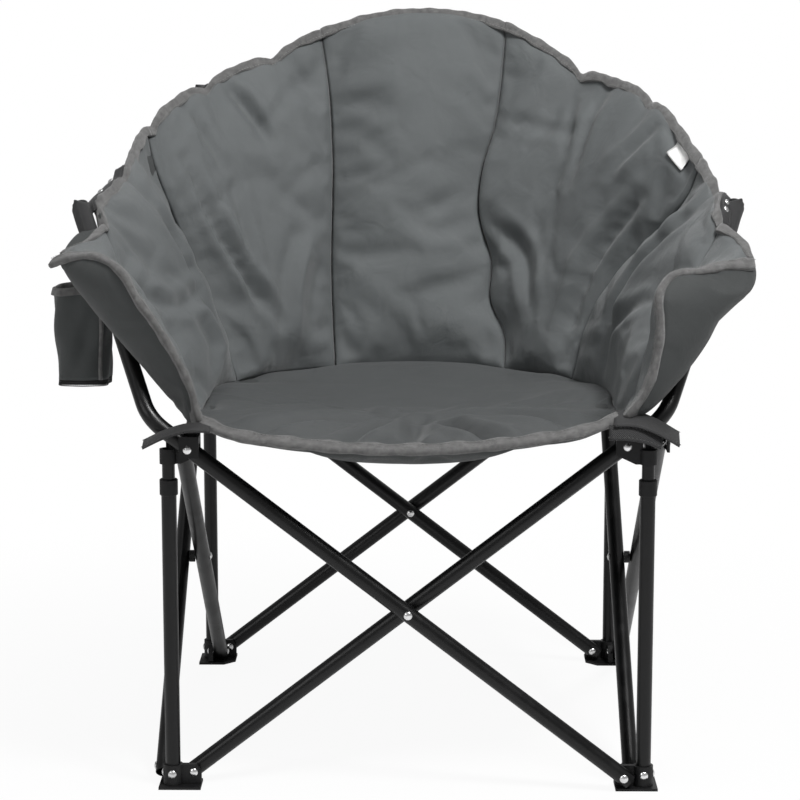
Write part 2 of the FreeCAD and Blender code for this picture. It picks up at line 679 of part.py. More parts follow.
# Cup holder: open pouch with a stiffened mouth, hung from the left rim by a flap
def cup_holder(pads):
    radius, thick = mm("cup_od") / 2, mm("webbing")
    _, left, right, outward, _, swell, _ = [p for p in pads if p[0] == "side_pad_left"][0]
    arc = rim_arc(left, right, outward, swell, 0).toShape()
    hang = arc.valueAt(arc.FirstParameter + (arc.LastParameter - arc.FirstParameter) * mm("cup_share"))
    mouth_z = hang.z - mm("cup_drop")
    base = V(hang.x - mm("cup_out"), hang.y, mouth_z - mm("cup_height"))
    up = V(0, 0, 1)
    pouch = Part.makeCylinder(radius - thick, mm("cup_height"), base, up)
    mouth = Part.makeCylinder(radius, mm("cup_ring"), V(base.x, base.y, mouth_z - mm("cup_ring")), up)
    head = hang - V(mm("pad_edge") + mm("seam_gap") + thick / 2, 0, 0)
    foot_point = V(base.x + radius - thick, base.y, mouth_z - mm("cup_ring"))
    run = head - foot_point
    half = V(0, mm("strap_width") / 2, 0)
    flap = Part.Face(Part.makePolygon([foot_point - half, foot_point + half, head + half, head - half,
                                       foot_point - half])).extrude(run.cross(V(0, 1, 0)).normalize() * thick)
    shell = pouch.fuse([mouth, flap])
    inside = Part.makeCylinder(radius - 2 * thick, mm("cup_height"), base + up * thick, up)
    feature("cup_holder", shell.cut(inside).removeSplitter())


# Blank fabric tab sewn to the inside of the right rim
def label_tab(pads):
    _, left, right, outward, _, swell, _ = [p for p in pads if p[0] == "back_pad_right"][0]
    arc = rim_arc(left, right, outward, swell, mm("binding_d") / 2, mm("binding_d") / 2).toShape()
    place = arc.FirstParameter + (arc.LastParameter - arc.FirstParameter) * mm("label_share")
    along = arc.tangentAt(place)
    out = facing(arc.valueAt(place), arc.valueAt(place) + along, outward)
    down = (V(0, 0, -1) - out * math.tan(math.radians(mm("label_lean")))).normalize()
    top = arc.valueAt(place) - out * (mm("binding_d") / 2 + mm("side_play"))
    half = along * (mm("label_width") / 2)
    drop = down * mm("label_height")
    outline = [top - half, top + half, top + half + drop, top - half + drop, top - half]
    feature("label_tab", Part.Face(Part.makePolygon(outline)).extrude(out * -mm("label_thick")))


for corner in range(4):
    foot(corner)
    post(corner)
    hub(corner)
    foot_rivets(corner)
    hub_rivets(corner)
for side_index in range(4):
    if side_index > 0:
        cross_tube(side_index, True)
        cross_tube(side_index, False)
    cross_hardware(side_index)
for hand in (-1, 1):
    arm_tube(hand)
    upright(hand)
all_pads = wall_pads()
for entry in all_pads:
    wall_pad(all_pads, *entry)
seat_pad()
pole_pockets([obj.Shape for obj in subparts if "_pad_" in obj.Label])
corner_tabs()
rim_binding(all_pads)
cup_holder(all_pads)
label_tab(all_pads)

doc.recompute()
for obj in doc.Objects:
    if "Invalid" in obj.State or "Error" in obj.State:
        raise RuntimeError(f"{obj.Name} failed: {obj.State}")
for obj in subparts:
    if obj.Shape.isNull() or not obj.Shape.isValid():
        raise RuntimeError(f"{obj.Label} has no valid shape")
os.makedirs("parts", exist_ok=True)
for obj in subparts:
    obj.Shape.exportStep(f"parts/{obj.Label}.step")
print(len(subparts), "sub-parts written")
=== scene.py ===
import json
import math
import bmesh
import bpy
import numpy as np
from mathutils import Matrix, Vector


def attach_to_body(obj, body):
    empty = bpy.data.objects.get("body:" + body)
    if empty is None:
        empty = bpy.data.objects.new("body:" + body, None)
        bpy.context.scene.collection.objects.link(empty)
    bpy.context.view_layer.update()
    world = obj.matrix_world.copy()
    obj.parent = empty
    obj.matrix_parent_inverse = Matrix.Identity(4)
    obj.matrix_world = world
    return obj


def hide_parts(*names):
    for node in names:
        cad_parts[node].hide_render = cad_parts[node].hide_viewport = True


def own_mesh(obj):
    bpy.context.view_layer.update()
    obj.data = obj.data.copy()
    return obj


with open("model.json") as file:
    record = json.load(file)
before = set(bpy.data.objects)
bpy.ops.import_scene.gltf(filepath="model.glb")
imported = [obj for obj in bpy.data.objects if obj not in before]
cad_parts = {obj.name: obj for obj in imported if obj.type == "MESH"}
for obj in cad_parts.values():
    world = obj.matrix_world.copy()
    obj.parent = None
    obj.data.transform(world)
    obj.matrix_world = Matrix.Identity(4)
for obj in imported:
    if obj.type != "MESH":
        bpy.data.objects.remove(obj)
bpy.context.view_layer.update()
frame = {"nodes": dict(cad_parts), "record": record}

scene = bpy.context.scene
scene.view_settings.view_transform = "Standard"
print("frame loaded")

# Camera, floor and studio light
studio = {
    "eye": (0.0174, -3.0582, 0.9365), "down": 9.757, "turn": 0.55, "lens": 111.86, "sensor": 36.0,
    "floorColor": (0.84, 0.84, 0.845), "skyColor": (1.0, 1.0, 1.0), "sky": 0.2, "shine": 0.35,
    "lamps": [("keyLamp", (1.1, -1.3, 3.0), 0.8, 92.0), ("fillLamp", (-2.2, -2.1, 1.8), 1.6, 14.0),
              ("topLamp", (-0.4, -0.4, 3.2), 1.7, 14.0), ("rimLamp", (0.6, 2.6, 2.0), 1.6, 18.0)],
    "aim": (0.0, 0.0, 0.45), "floorReach": 14.0, "whiteFrom": 0.3, "whiteTo": 1.3, "whiteLeast": 0.93,
}


def makeStudio():
    lens = bpy.data.cameras.new("photoCamera")
    lens.lens = studio["lens"]
    lens.sensor_width = studio["sensor"]
    camera = bpy.data.objects.new("photoCamera", lens)
    camera.location = studio["eye"]
    camera.rotation_euler = (math.radians(90 - studio["down"]), 0, math.radians(studio["turn"]))
    scene.collection.objects.link(camera)
    scene.camera = camera
    for name, place, size, power in studio["lamps"]:
        lamp = bpy.data.lights.new(name, "AREA")
        lamp.shape = "DISK"
        lamp.size = size
        lamp.energy = power
        holder = bpy.data.objects.new(name, lamp)
        holder.location = place
        holder.rotation_euler = (Vector(studio["aim"]) - Vector(place)).to_track_quat("-Z", "Y").to_euler()
        scene.collection.objects.link(holder)
    world = bpy.data.worlds.new("studioWorld")
    scene.world = world
    world.use_nodes = True
    back = world.node_tree.nodes["Background"]
    back.inputs["Color"].default_value = (*studio["skyColor"], 1)
    bright = math2(world.node_tree, "MAXIMUM", seenWhite(world.node_tree), studio["sky"])
    world.node_tree.links.new(bright, back.inputs["Strength"])
    makeFloor()


# White to the camera and through glass, and part of it in reflections
def seenWhite(tree):
    path = addNode(tree, "ShaderNodeLightPath")
    direct = math2(tree, "MAXIMUM", path.outputs["Is Camera Ray"], path.outputs["Is Transmission Ray"])
    glossy = math2(tree, "MULTIPLY", path.outputs["Is Glossy Ray"], studio["shine"])
    return math2(tree, "MAXIMUM", direct, glossy)


# Pale floor that runs out to plain white away from the chair, as the camera sees it
def makeFloor():
    reach = studio["floorReach"]
    mesh = bpy.data.meshes.new("studioFloor")
    mesh.from_pydata([(-reach, -reach, 0), (reach, -reach, 0), (reach, reach, 0), (-reach, reach, 0)], [],
                     [(0, 1, 2, 3)])
    floor = bpy.data.objects.new("studioFloor", mesh)
    scene.collection.objects.link(floor)
    material, shader = newMaterial("paleFloor", studio["floorColor"], 0.75)
    tree = material.node_tree
    place = addNode(tree, "ShaderNodeNewGeometry")
    away = addNode(tree, "ShaderNodeVectorMath", operation="LENGTH")
    tree.links.new(place.outputs["Position"], away.inputs[0])
    ramp = addNode(tree, "ShaderNodeMapRange", interpolation_type="SMOOTHSTEP", From_Min=studio["whiteFrom"],
                   From_Max=studio["whiteTo"], To_Min=studio["whiteLeast"])
    tree.links.new(away.outputs["Value"], ramp.inputs["Value"])
    seen = math2(tree, "MULTIPLY", ramp.outputs[0], seenWhite(tree))
    white = addNode(tree, "ShaderNodeEmission", Color=(1, 1, 1, 1), Strength=1.0)
    mix = addNode(tree, "ShaderNodeMixShader")
    tree.links.new(seen, mix.inputs[0])
    tree.links.new(shader.outputs[0], mix.inputs[1])
    tree.links.new(white.outputs[0], mix.inputs[2])
    tree.links.new(mix.outputs[0], tree.nodes["Material Output"].inputs["Surface"])
    mesh.materials.append(material)


# Materials: small helpers, two shared groups, then one function for cloth and one for hard finishes
def newMaterial(name, color, roughness):
    material = bpy.data.materials.new(name)
    material.use_nodes = True
    shader = material.node_tree.nodes["Principled BSDF"]
    shader.inputs["Base Color"].default_value = (*color, 1)
    shader.inputs["Roughness"].default_value = roughness
    return material, shader


def addNode(tree, kind, **values):
    node = tree.nodes.new(kind)
    for key, value in values.items():
        if hasattr(node, key):
            setattr(node, key, value)
        else:
            node.inputs[key.replace("_", " ")].default_value = value
    return node


def math2(tree, operation, first, second):
    node = tree.nodes.new("ShaderNodeMath")
    node.operation = operation
    for slot, value in zip(node.inputs, (first, second)):
        if isinstance(value, (int, float)):
            slot.default_value = value
        else:
            tree.links.new(value, slot)
    return node.outputs[0]


def newGroup(name, inputs, outputs, kind="ShaderNodeTree"):
    group = bpy.data.node_groups.new(name, kind)
    for label, socketType, value in inputs:
        socket = group.interface.new_socket(label, in_out="INPUT", socket_type=socketType)
        if value is not None:
            socket.default_value = value
    for label, socketType in outputs:
        group.interface.new_socket(label, in_out="OUTPUT", socket_type=socketType)
    return group, group.nodes.new("NodeGroupInput"), group.nodes.new("NodeGroupOutput")


# Plain weave on the cloth's own UV, which is in metres, with slow colour drift and fine crumple
def makeWeaveGroup():
    group, given, result = newGroup(
        "clothWeave",
        [("UV", "NodeSocketVector", None), ("Place", "NodeSocketVector", None),
         ("Thread", "NodeSocketFloat", 900.0), ("Crumple", "NodeSocketFloat", 28.0),
         ("Patch", "NodeSocketFloat", 9.0)],
        [("Height", "NodeSocketFloat"), ("Drift", "NodeSocketFloat"), ("Crumple", "NodeSocketFloat")])
    split = addNode(group, "ShaderNodeSeparateXYZ")
    group.links.new(given.outputs["UV"], split.inputs[0])
    threads = []
    for axis in (0, 1):
        turns = math2(group, "MULTIPLY", split.outputs[axis], given.outputs["Thread"])
        threads.append(math2(group, "SINE", math2(group, "MULTIPLY", turns, math.tau), 0.0))
    over = math2(group, "MULTIPLY", threads[0], threads[1])
    group.links.new(math2(group, "MULTIPLY_ADD", over, 0.5), result.inputs["Height"])
    drift = addNode(group, "ShaderNodeTexNoise", Detail=3.0, Roughness=0.55)
    group.links.new(given.outputs["Patch"], drift.inputs["Scale"])
    group.links.new(given.outputs["Place"], drift.inputs["Vector"])
    group.links.new(drift.outputs[0], result.inputs["Drift"])
    crumple = addNode(group, "ShaderNodeTexNoise", Detail=4.0, Roughness=0.5, Distortion=0.6)
    group.links.new(given.outputs["Place"], crumple.inputs["Vector"])
    group.links.new(given.outputs["Crumple"], crumple.inputs["Scale"])
    group.links.new(crumple.outputs[0], result.inputs["Crumple"])
    return group


# Fine grain for coats and mouldings, with worn marks where the noise peaks
def makeGrainGroup():
    group, given, result = newGroup(
        "fineGrain",
        [("Place", "NodeSocketVector", None), ("Grain", "NodeSocketFloat", 900.0),
         ("Marks", "NodeSocketFloat", 40.0)],
        [("Height", "NodeSocketFloat"), ("Marks", "NodeSocketFloat")])
    grain = addNode(group, "ShaderNodeTexNoise", Detail=2.0)
    marks = addNode(group, "ShaderNodeTexNoise", Detail=5.0, Roughness=0.6)
    for node, label in ((grain, "Grain"), (marks, "Marks")):
        group.links.new(given.outputs["Place"], node.inputs["Vector"])
        group.links.new(given.outputs[label], node.inputs["Scale"])
    group.links.new(grain.outputs[0], result.inputs["Height"])
    ramp = addNode(group, "ShaderNodeMapRange", From_Min=0.45, From_Max=0.75)
    group.links.new(marks.outputs[0], ramp.inputs["Value"])
    group.links.new(ramp.outputs[0], result.inputs["Marks"])
    return group


weaveGroup = makeWeaveGroup()
grainGroup = makeGrainGroup()


def mixColor(tree, factor, first, second):
    mix = tree.nodes.new("ShaderNodeMix")
    mix.data_type = "RGBA"
    tree.links.new(factor, mix.inputs["Factor"])
    mix.inputs["A"].default_value = (*first, 1)
    mix.inputs["B"].default_value = (*second, 1)
    return mix.outputs["Result"]


def addBump(tree, shader, heights):
    normal = None
    for height, distance, strength in heights:
        bump = addNode(tree, "ShaderNodeBump", Distance=distance, Strength=strength)
        tree.links.new(height, bump.inputs["Height"])
        if normal is not None:
            tree.links.new(normal, bump.inputs["Normal"])
        normal = bump.outputs["Normal"]
    tree.links.new(normal, shader.inputs["Normal"])


# Threads in turns per metre, depths in metres
def clothFinish(name, dark, light, roughness, thread=850.0, weaveDepth=0.0004, crumpleDepth=0.004, sheen=0.2,
                patch=9.0):
    material, shader = newMaterial(name, light, roughness)
    tree = material.node_tree
    coords = addNode(tree, "ShaderNodeTexCoord")
    weave = addNode(tree, "ShaderNodeGroup", node_tree=weaveGroup, Thread=thread, Patch=patch)
    tree.links.new(coords.outputs["UV"], weave.inputs["UV"])
    tree.links.new(coords.outputs["Object"], weave.inputs["Place"])
    tree.links.new(mixColor(tree, weave.outputs["Drift"], dark, light), shader.inputs["Base Color"])
    rough = addNode(tree, "ShaderNodeMapRange", To_Min=roughness - 0.1, To_Max=roughness + 0.1)
    tree.links.new(weave.outputs["Crumple"], rough.inputs["Value"])
    tree.links.new(rough.outputs[0], shader.inputs["Roughness"])
    addBump(tree, shader, [(weave.outputs["Crumple"], crumpleDepth, 0.5),
                           (weave.outputs["Height"], weaveDepth, 0.6)])
    shader.inputs["Sheen Weight"].default_value = sheen
    shader.inputs["Sheen Roughness"].default_value = 0.45
    return material


def hardFinish(name, color, worn, roughness, grain, depth, metallic=0.0, coat=0.0, specular=0.3):
    material, shader = newMaterial(name, color, roughness)
    tree = material.node_tree
    coords = addNode(tree, "ShaderNodeTexCoord")
    grains = addNode(tree, "ShaderNodeGroup", node_tree=grainGroup, Grain=grain)
    tree.links.new(coords.outputs["Object"], grains.inputs["Place"])
    tree.links.new(mixColor(tree, grains.outputs["Marks"], color, worn), shader.inputs["Base Color"])
    rough = addNode(tree, "ShaderNodeMapRange", To_Min=roughness, To_Max=min(roughness + 0.14, 1.0))
    tree.links.new(grains.outputs["Marks"], rough.inputs["Value"])
    tree.links.new(rough.outputs[0], shader.inputs["Roughness"])
    addBump(tree, shader, [(grains.outputs["Height"], depth, 0.35)])
    shader.inputs["Metallic"].default_value = metallic
    shader.inputs["Specular IOR Level"].default_value = specular
    shader.inputs["Coat Weight"].default_value = coat
    shader.inputs["Coat Roughness"].default_value = 0.2
    return material


greyOxford = clothFinish("greyOxford", (0.084, 0.092, 0.094), (0.104, 0.113, 0.115), 0.6)
# Darker copy of the grey oxford for the outer skins and the seat's underside: painted shade, the real cloth
# there is the same grey
paintedShadeOxford = clothFinish("paintedShadeOxford", (0.028, 0.031, 0.031), (0.039, 0.043, 0.043), 0.66, sheen=0.1)
# Darker copy of the grey oxford for the seat's top: painted shade
paintedShadeSeatOxford = clothFinish("paintedShadeSeatOxford", (0.04, 0.044, 0.045), (0.05, 0.055, 0.056), 0.62)
# Darker copy of the grey oxford for the cup pouch and its flap, hung under the arm: painted shade
paintedShadeCupOxford = clothFinish("paintedShadeCupOxford", (0.036, 0.04, 0.04), (0.05, 0.055, 0.055), 0.66, sheen=0.15)
warmTape = clothFinish("warmTape", (0.02, 0.02, 0.02), (0.21, 0.208, 0.205), 0.8, thread=700.0,
                       weaveDepth=0.0008, sheen=0.3, patch=150.0)
blackWebbing = clothFinish("blackWebbing", (0.006, 0.006, 0.0065), (0.014, 0.014, 0.015), 0.6, thread=420.0,
                           weaveDepth=0.001, crumpleDepth=0.002, sheen=0.1)
whiteTape = clothFinish("whiteTape", (0.74, 0.74, 0.73), (0.84, 0.84, 0.83), 0.6, thread=700.0,
                        crumpleDepth=0.001, sheen=0.1)
paleThread = clothFinish("paleThread", (0.16, 0.16, 0.155), (0.27, 0.27, 0.26), 0.7, thread=1500.0,
                         weaveDepth=0.0003, crumpleDepth=0.001)
greyPiping = clothFinish("greyPiping", (0.03, 0.03, 0.03), (0.09, 0.09, 0.088), 0.7, thread=1500.0,
                         weaveDepth=0.0003, crumpleDepth=0.001)
powderBlack = hardFinish("powderBlack", (0.0022, 0.0022, 0.0024), (0.005, 0.005, 0.0052), 0.3, 1400.0, 0.0003,
                         coat=0.06)
mouldedBlack = hardFinish("mouldedBlack", (0.006, 0.006, 0.0065), (0.012, 0.012, 0.012), 0.52, 1100.0, 0.0004)
brightZinc = hardFinish("brightZinc", (0.78, 0.78, 0.78), (0.55, 0.55, 0.55), 0.22, 700.0, 0.0002,
                        metallic=1.0)
makeStudio()
print("studio and finishes ready")


# Smooth curve through values at knots, for points or whole ribs
def smoothThrough(knots, values, at):
    knots, values, at = np.asarray(knots, float), np.asarray(values, float), np.asarray(at, float)
    slope = np.gradient(values, knots, axis=0)
    index = np.clip(np.searchsorted(knots, at) - 1, 0, len(knots) - 2)
    span = knots[index + 1] - knots[index]
    t = (at - knots[index]) / span
    shape = (len(at),) + (1,) * (values.ndim - 1)
    t, span = t.reshape(shape), span.reshape(shape)
    start = (1 + 2 * t) * (1 - t) ** 2 * values[index] + t * (1 - t) ** 2 * span * slope[index]
    return start + t * t * (3 - 2 * t) * values[index + 1] + t * t * (t - 1) * span * slope[index + 1]


def lengthKnots(points):
    steps = np.linalg.norm(np.diff(np.asarray(points, float), axis=0), axis=1)
    knots = np.concatenate([[0], np.cumsum(steps)])
    return knots / knots[-1]


# The bowl: ribs from the seat seam to the rim, from the left front edge round the back to the right one
bowl = {
    "seatRadius": 0.248, "seatCentreY": -0.048, "seamZ": 0.422,
    # name, angle of the rib's foot from straight back, rim point, fullness of the rib
    "ribs": [
        ("poleLeft", None, (-0.386, -0.130, 0.648), 0.0),
        ("sideLeft", -80, (-0.352, -0.012, 0.692), 0.08),
        ("foldLeft", -62, (-0.333, 0.138, 0.748), 0.2),
        ("shoulderLeft", -47, (-0.273, 0.250, 0.793), 0.3),
        ("notchLeft", -36, (-0.186, 0.314, 0.829), 0.35),
        ("channelLeft", -25.8, (-0.122, 0.337, 0.857), 0.35),
        ("centre", 0, (-0.004, 0.348, 0.884), 0.35),
        ("channelRight", 25.8, (0.128, 0.337, 0.866), 0.35),
        ("notchRight", 38, (0.228, 0.288, 0.811), 0.35),
        ("shoulderRight", 49, (0.311, 0.168, 0.777), 0.3),
        ("foldRight", 61, (0.354, 0.055, 0.718), 0.2),
        ("sideRight", 80, (0.373, -0.045, 0.678), 0.08),
        ("poleRight", None, (0.384, -0.130, 0.646), 0.0),
    ],
    "poleFoot": (0.244, -0.262, 0.424),
    "frontLeft": [(-0.236, -0.296, 0.434), (-0.246, -0.299, 0.478), (-0.263, -0.299, 0.514),
                  (-0.287, -0.297, 0.552), (-0.305, -0.294, 0.577), (-0.322, -0.286, 0.604),
                  (-0.350, -0.262, 0.618), (-0.386, -0.232, 0.614), (-0.412, -0.208, 0.604)],
    "frontRight": [(0.246, -0.296, 0.440), (0.268, -0.299, 0.472), (0.281, -0.299, 0.518),
                   (0.283, -0.297, 0.552), (0.281, -0.292, 0.582), (0.294, -0.278, 0.599),
                   (0.333, -0.250, 0.602), (0.372, -0.225, 0.605), (0.398, -0.206, 0.602)],
    "rows": 61,
    # seams that wander: share up the wall, share round the rim
    "seams": {
        "channelLeft": [(0, 0.429), (0.25, 0.427), (0.63, 0.43), (0.8, 0.428), (1, 0.421)],
        "channelRight": [(0, 0.601), (0.1, 0.596), (0.18, 0.578), (0.3, 0.576), (0.42, 0.563), (0.55, 0.564),
                         (0.68, 0.574), (0.9, 0.581), (1, 0.582)],
        "foldLeft": [(0, 0.243), (0.3, 0.25), (0.56, 0.239), (0.9, 0.233), (1, 0.238)],
        "foldRight": [(0, 0.772), (0.22, 0.75), (0.38, 0.76), (0.6, 0.787), (0.88, 0.815), (1, 0.812)],
    },
    # rim notches: where they start up the wall, how sharp they are, then rib, depth and half width
    "notchFrom": 0.72, "notchShape": 1.3,
    "notches": [("sideLeft", 0.008, 0.012), ("foldLeft", 0.012, 0.014), ("shoulderLeft", 0.013, 0.013),
                ("notchLeft", 0.012, 0.012), ("notchRight", 0.013, 0.012), ("shoulderRight", 0.011, 0.012),
                ("sideRight", 0.010, 0.012), ("poleLeft", 0.008, 0.012), ("poleRight", 0.006, 0.012)],
}


def seatPoint(angle):
    turn = math.radians(angle)
    radius = bowl["seatRadius"]
    return np.array([radius * math.sin(turn), bowl["seatCentreY"] + radius * math.cos(turn), bowl["seamZ"]])


def frontRib(name, heights):
    return smoothThrough(lengthKnots(bowl[name]), bowl[name], heights)


def makeRibs():
    heights = np.linspace(0, 1, bowl["rows"])
    names, ribs = ["frontLeft"], [frontRib("frontLeft", heights)]
    for name, angle, rim, fullness in bowl["ribs"]:
        if angle is None:
            foot = np.array(bowl["poleFoot"])
            foot[0] *= math.copysign(1, rim[0])
        else:
            foot = seatPoint(angle)
        out = heights * (1 + fullness * (1 - heights))
        rise = np.array(rim) - foot
        rib = foot + np.stack([out * rise[0], out * rise[1], heights * rise[2]], axis=1)
        names.append(name)
        ribs.append(rib)
    names.append("frontRight")
    ribs.append(frontRib("frontRight", heights))
    ribs = np.array(ribs)
    knots = lengthKnots((ribs[:, 0] + 2 * ribs[:, -1]) / 3)
    return names, knots, ribs


ribNames, ribKnots, ribCurves = makeRibs()
rimLength = float(np.linalg.norm(np.diff(ribCurves[:, -1], axis=0), axis=1).sum())


def ribPlace(name):
    return float(ribKnots[ribNames.index(name)])


def seamPlaces(name):
    rows = np.linspace(0, 1, bowl["rows"])
    if name not in bowl["seams"]:
        return np.full(len(rows), ribPlace(name))
    line = np.array(bowl["seams"][name])
    return smoothThrough(line[:, 0], line[:, 1], rows)


# Middle surface of the wall between two seams: columns along the rim, rows up from the seat
def wallGrid(first, last, count):
    start, end = seamPlaces(first), seamPlaces(last)
    around = start + (end - start) * np.linspace(0, 1, count)[:, None]
    rings = [smoothThrough(ribKnots, ribCurves[:, row], around[:, row]) for row in range(bowl["rows"])]
    grid = np.stack(rings, axis=1)
    lift = np.zeros_like(around)
    for name, depth, half in bowl["notches"]:
        away = (around - ribPlace(name)) * rimLength / half
        lift -= depth * np.exp(-np.abs(away) ** bowl["notchShape"])
    rows = np.linspace(0, 1, bowl["rows"])
    low = bowl["notchFrom"]
    grid[:, :, 2] += lift * np.clip((rows - low) / (1 - low), 0, 1) ** 2
    return grid


# The pads pass inside the arm tubes: room from a tube's axis, and how far to its sides the cloth gives way
armTubes = {"tips": [(-0.391, -0.107, 0.662), (0.391, -0.081, 0.662)], "lean": (0.32, 0.594, 0.737),
            "length": 0.26, "past": 0.012, "room": 0.019, "spread": 0.045, "most": 0.06}


def clearOfTubes(grid):
    grid = grid.copy()
    for tip in armTubes["tips"]:
        side = math.copysign(1, tip[0])
        along = np.array(armTubes["lean"]) * (side, 1, 1)
        along /= np.linalg.norm(along)
        reach = np.clip((grid - tip) @ along, -armTubes["length"], armTubes["past"])
        gap = grid - tip - reach[:, :, None] * along
        beside = np.linalg.norm(gap[:, :, 1:], axis=2) / armTubes["spread"]
        short = np.clip(armTubes["room"] + side * gap[:, :, 0], 0, armTubes["most"])
        grid[:, :, 0] -= side * short * np.clip(1 - beside ** 2, 0, 1) ** 1.5
    return grid


def gridNormals(grid):
    across = np.gradient(grid, axis=0)
    along = np.gradient(grid, axis=1)
    normal = np.cross(across, along)
    return normal / np.maximum(np.linalg.norm(normal, axis=2, keepdims=True), 1e-9)


def gridQuads(index):
    return np.stack([index[:-1, :-1], index[1:, :-1], index[1:, 1:], index[:-1, 1:]], axis=-1).reshape(-1, 4)


def ringQuads(index, closed):
    here, ahead = (index, np.roll(index, -1, axis=0)) if closed else (index[:-1], index[1:])
    quads = np.stack([here, np.roll(here, -1, axis=1), np.roll(ahead, -1, axis=1), ahead], axis=-1)
    return quads.reshape(-1, 4)


def signedVolume(verts, quads):
    a, b, c, d = (verts[quads[:, i]] for i in range(4))
    return (a * (np.cross(b, c) + np.cross(c, d))).sum()


# Crown over a panel: how full it is, how fast it rises from its sides, the seat seam and the rim, and how
# fast an arm pad's cover swells from its sides
crown = {"side": 0.5, "full": 1.55, "seam": 0.3, "rim": 0.45, "cover": 0.8}


# Closed padded panel from a grid: an inner and an outer skin that share the sewn edge; the outer skin takes a
# darker second material, which is painted shade
def panelMesh(name, grid, inward, crownIn, crownOut, material, outerShadeMaterial, cover=0):
    n, m = grid.shape[:2]
    a, b = np.linspace(0, 1, n)[:, None], np.linspace(0, 1, m)[None, :]
    puff = np.clip(4 * a * (1 - a), 0, 1) ** crown["side"]
    puff = puff * crown["full"] * b ** crown["seam"] * (1 - b) ** crown["rim"]
    inner = grid + inward * (crownIn * puff)[:, :, None]
    outer = grid + cover - inward * (crownOut * puff)[:, :, None]
    innerIndex = np.arange(n * m).reshape(n, m)
    outerIndex = innerIndex.copy()
    outerIndex[1:-1, 1:-1] = n * m + np.arange((n - 2) * (m - 2)).reshape(n - 2, m - 2)
    verts = np.concatenate([inner.reshape(-1, 3), outer[1:-1, 1:-1].reshape(-1, 3)])
    faces = np.concatenate([gridQuads(innerIndex), gridQuads(outerIndex)[:, ::-1]])
    width = np.linalg.norm(np.diff(grid, axis=0), axis=2).sum(0).mean()
    height = np.linalg.norm(np.diff(grid, axis=1), axis=2).sum(1).mean()
    flat = np.stack(np.broadcast_arrays(a * width, b * height), axis=-1)
    uv = np.concatenate([flat.reshape(-1, 2), flat[1:-1, 1:-1].reshape(-1, 2)])
    obj = meshObject(name, verts, faces, material, uv)
    # Outer skin faces take the second material: painted shade
    obj.data.materials.append(outerShadeMaterial)
    obj.data.polygons.foreach_set("material_index", np.repeat([0, 1], len(faces) // 2))
    edge = np.ones((n, m), bool)
    edge[1:-1, 1:-1] = False
    sewn = obj.vertex_groups.new(name="sewn")
    sewn.add(innerIndex[edge].tolist(), 1.0, "REPLACE")
    border = np.zeros(len(verts), bool)
    border[innerIndex[edge]] = True
    ends = np.zeros(len(obj.data.edges) * 2, int)
    obj.data.edges.foreach_get("vertices", ends)
    sharp = obj.data.attributes.new("crease_edge", "FLOAT", "EDGE")
    sharp.data.foreach_set("value", border[ends.reshape(-1, 2)].all(1).astype(np.float32))
    return obj


def meshObject(name, verts, faces, material, uv=None):
    mesh = bpy.data.meshes.new(name)
    mesh.from_pydata(np.asarray(verts, float).tolist(), [], [list(map(int, f)) for f in faces])
    mesh.validate()
    if uv is not None:
        layer = mesh.uv_layers.new(name="cloth")
        loops = np.zeros(len(mesh.loops), int)
        mesh.loops.foreach_get("vertex_index", loops)
        layer.data.foreach_set("uv", np.asarray(uv, np.float32)[loops].ravel())
    mesh.shade_smooth()
    mesh.materials.append(material)
    obj = bpy.data.objects.new(name, mesh)
    scene.collection.objects.link(obj)
    return obj


def meshPoints(mesh):
    co = np.zeros(len(mesh.vertices) * 3)
    mesh.vertices.foreach_get("co", co)
    return co.reshape(-1, 3)


def setPoints(mesh, points):
    mesh.vertices.foreach_set("co", np.asarray(points, float).ravel())
    mesh.update()


# Cloth under pressure with its sewn edge held
sewing = {"frames": 18, "quality": 6, "pressure": 2.2, "slack": -0.018, "tension": 18.0, "bending": 1.2,
          "mass": 0.25, "reach": 0.024}


def puffUp(obj, slack=sewing["slack"], pressure=sewing["pressure"], reach=sewing["reach"]):
    rest = meshPoints(obj.data)
    cloth = obj.modifiers.new("puff", "CLOTH")
    settings = cloth.settings
    settings.quality = sewing["quality"]
    settings.mass = sewing["mass"]
    settings.tension_stiffness = sewing["tension"]
    settings.compression_stiffness = sewing["tension"]
    settings.shear_stiffness = sewing["tension"] / 3
    settings.bending_stiffness = sewing["bending"]
    settings.use_pressure = True
    settings.uniform_pressure_force = pressure
    settings.shrink_min = slack
    settings.effector_weights.gravity = 0
    settings.vertex_group_mass = "sewn"
    settings.pin_stiffness = 1.0
    cloth.collision_settings.use_collision = False
    cloth.point_cache.frame_start = 1
    cloth.point_cache.frame_end = sewing["frames"]
    for number in range(1, sewing["frames"] + 1):
        scene.frame_set(number)
    ready = obj.evaluated_get(bpy.context.evaluated_depsgraph_get())
    moved = meshPoints(ready.data) - rest
    size = np.linalg.norm(moved, axis=1, keepdims=True)
    moved *= reach * np.tanh(size / reach) / np.maximum(size, 1e-9)
    obj.modifiers.remove(cloth)
    setPoints(obj.data, rest + moved)
    scene.frame_set(1)


def subdivide(obj):
    rounding = obj.modifiers.new("rounding", "SUBSURF")
    rounding.levels = rounding.render_levels = 1
    bakeModifiers(obj)


def bakeModifiers(obj):
    ready = obj.evaluated_get(bpy.context.evaluated_depsgraph_get())
    mesh = bpy.data.meshes.new_from_object(ready)
    obj.modifiers.clear()
    obj.data = mesh


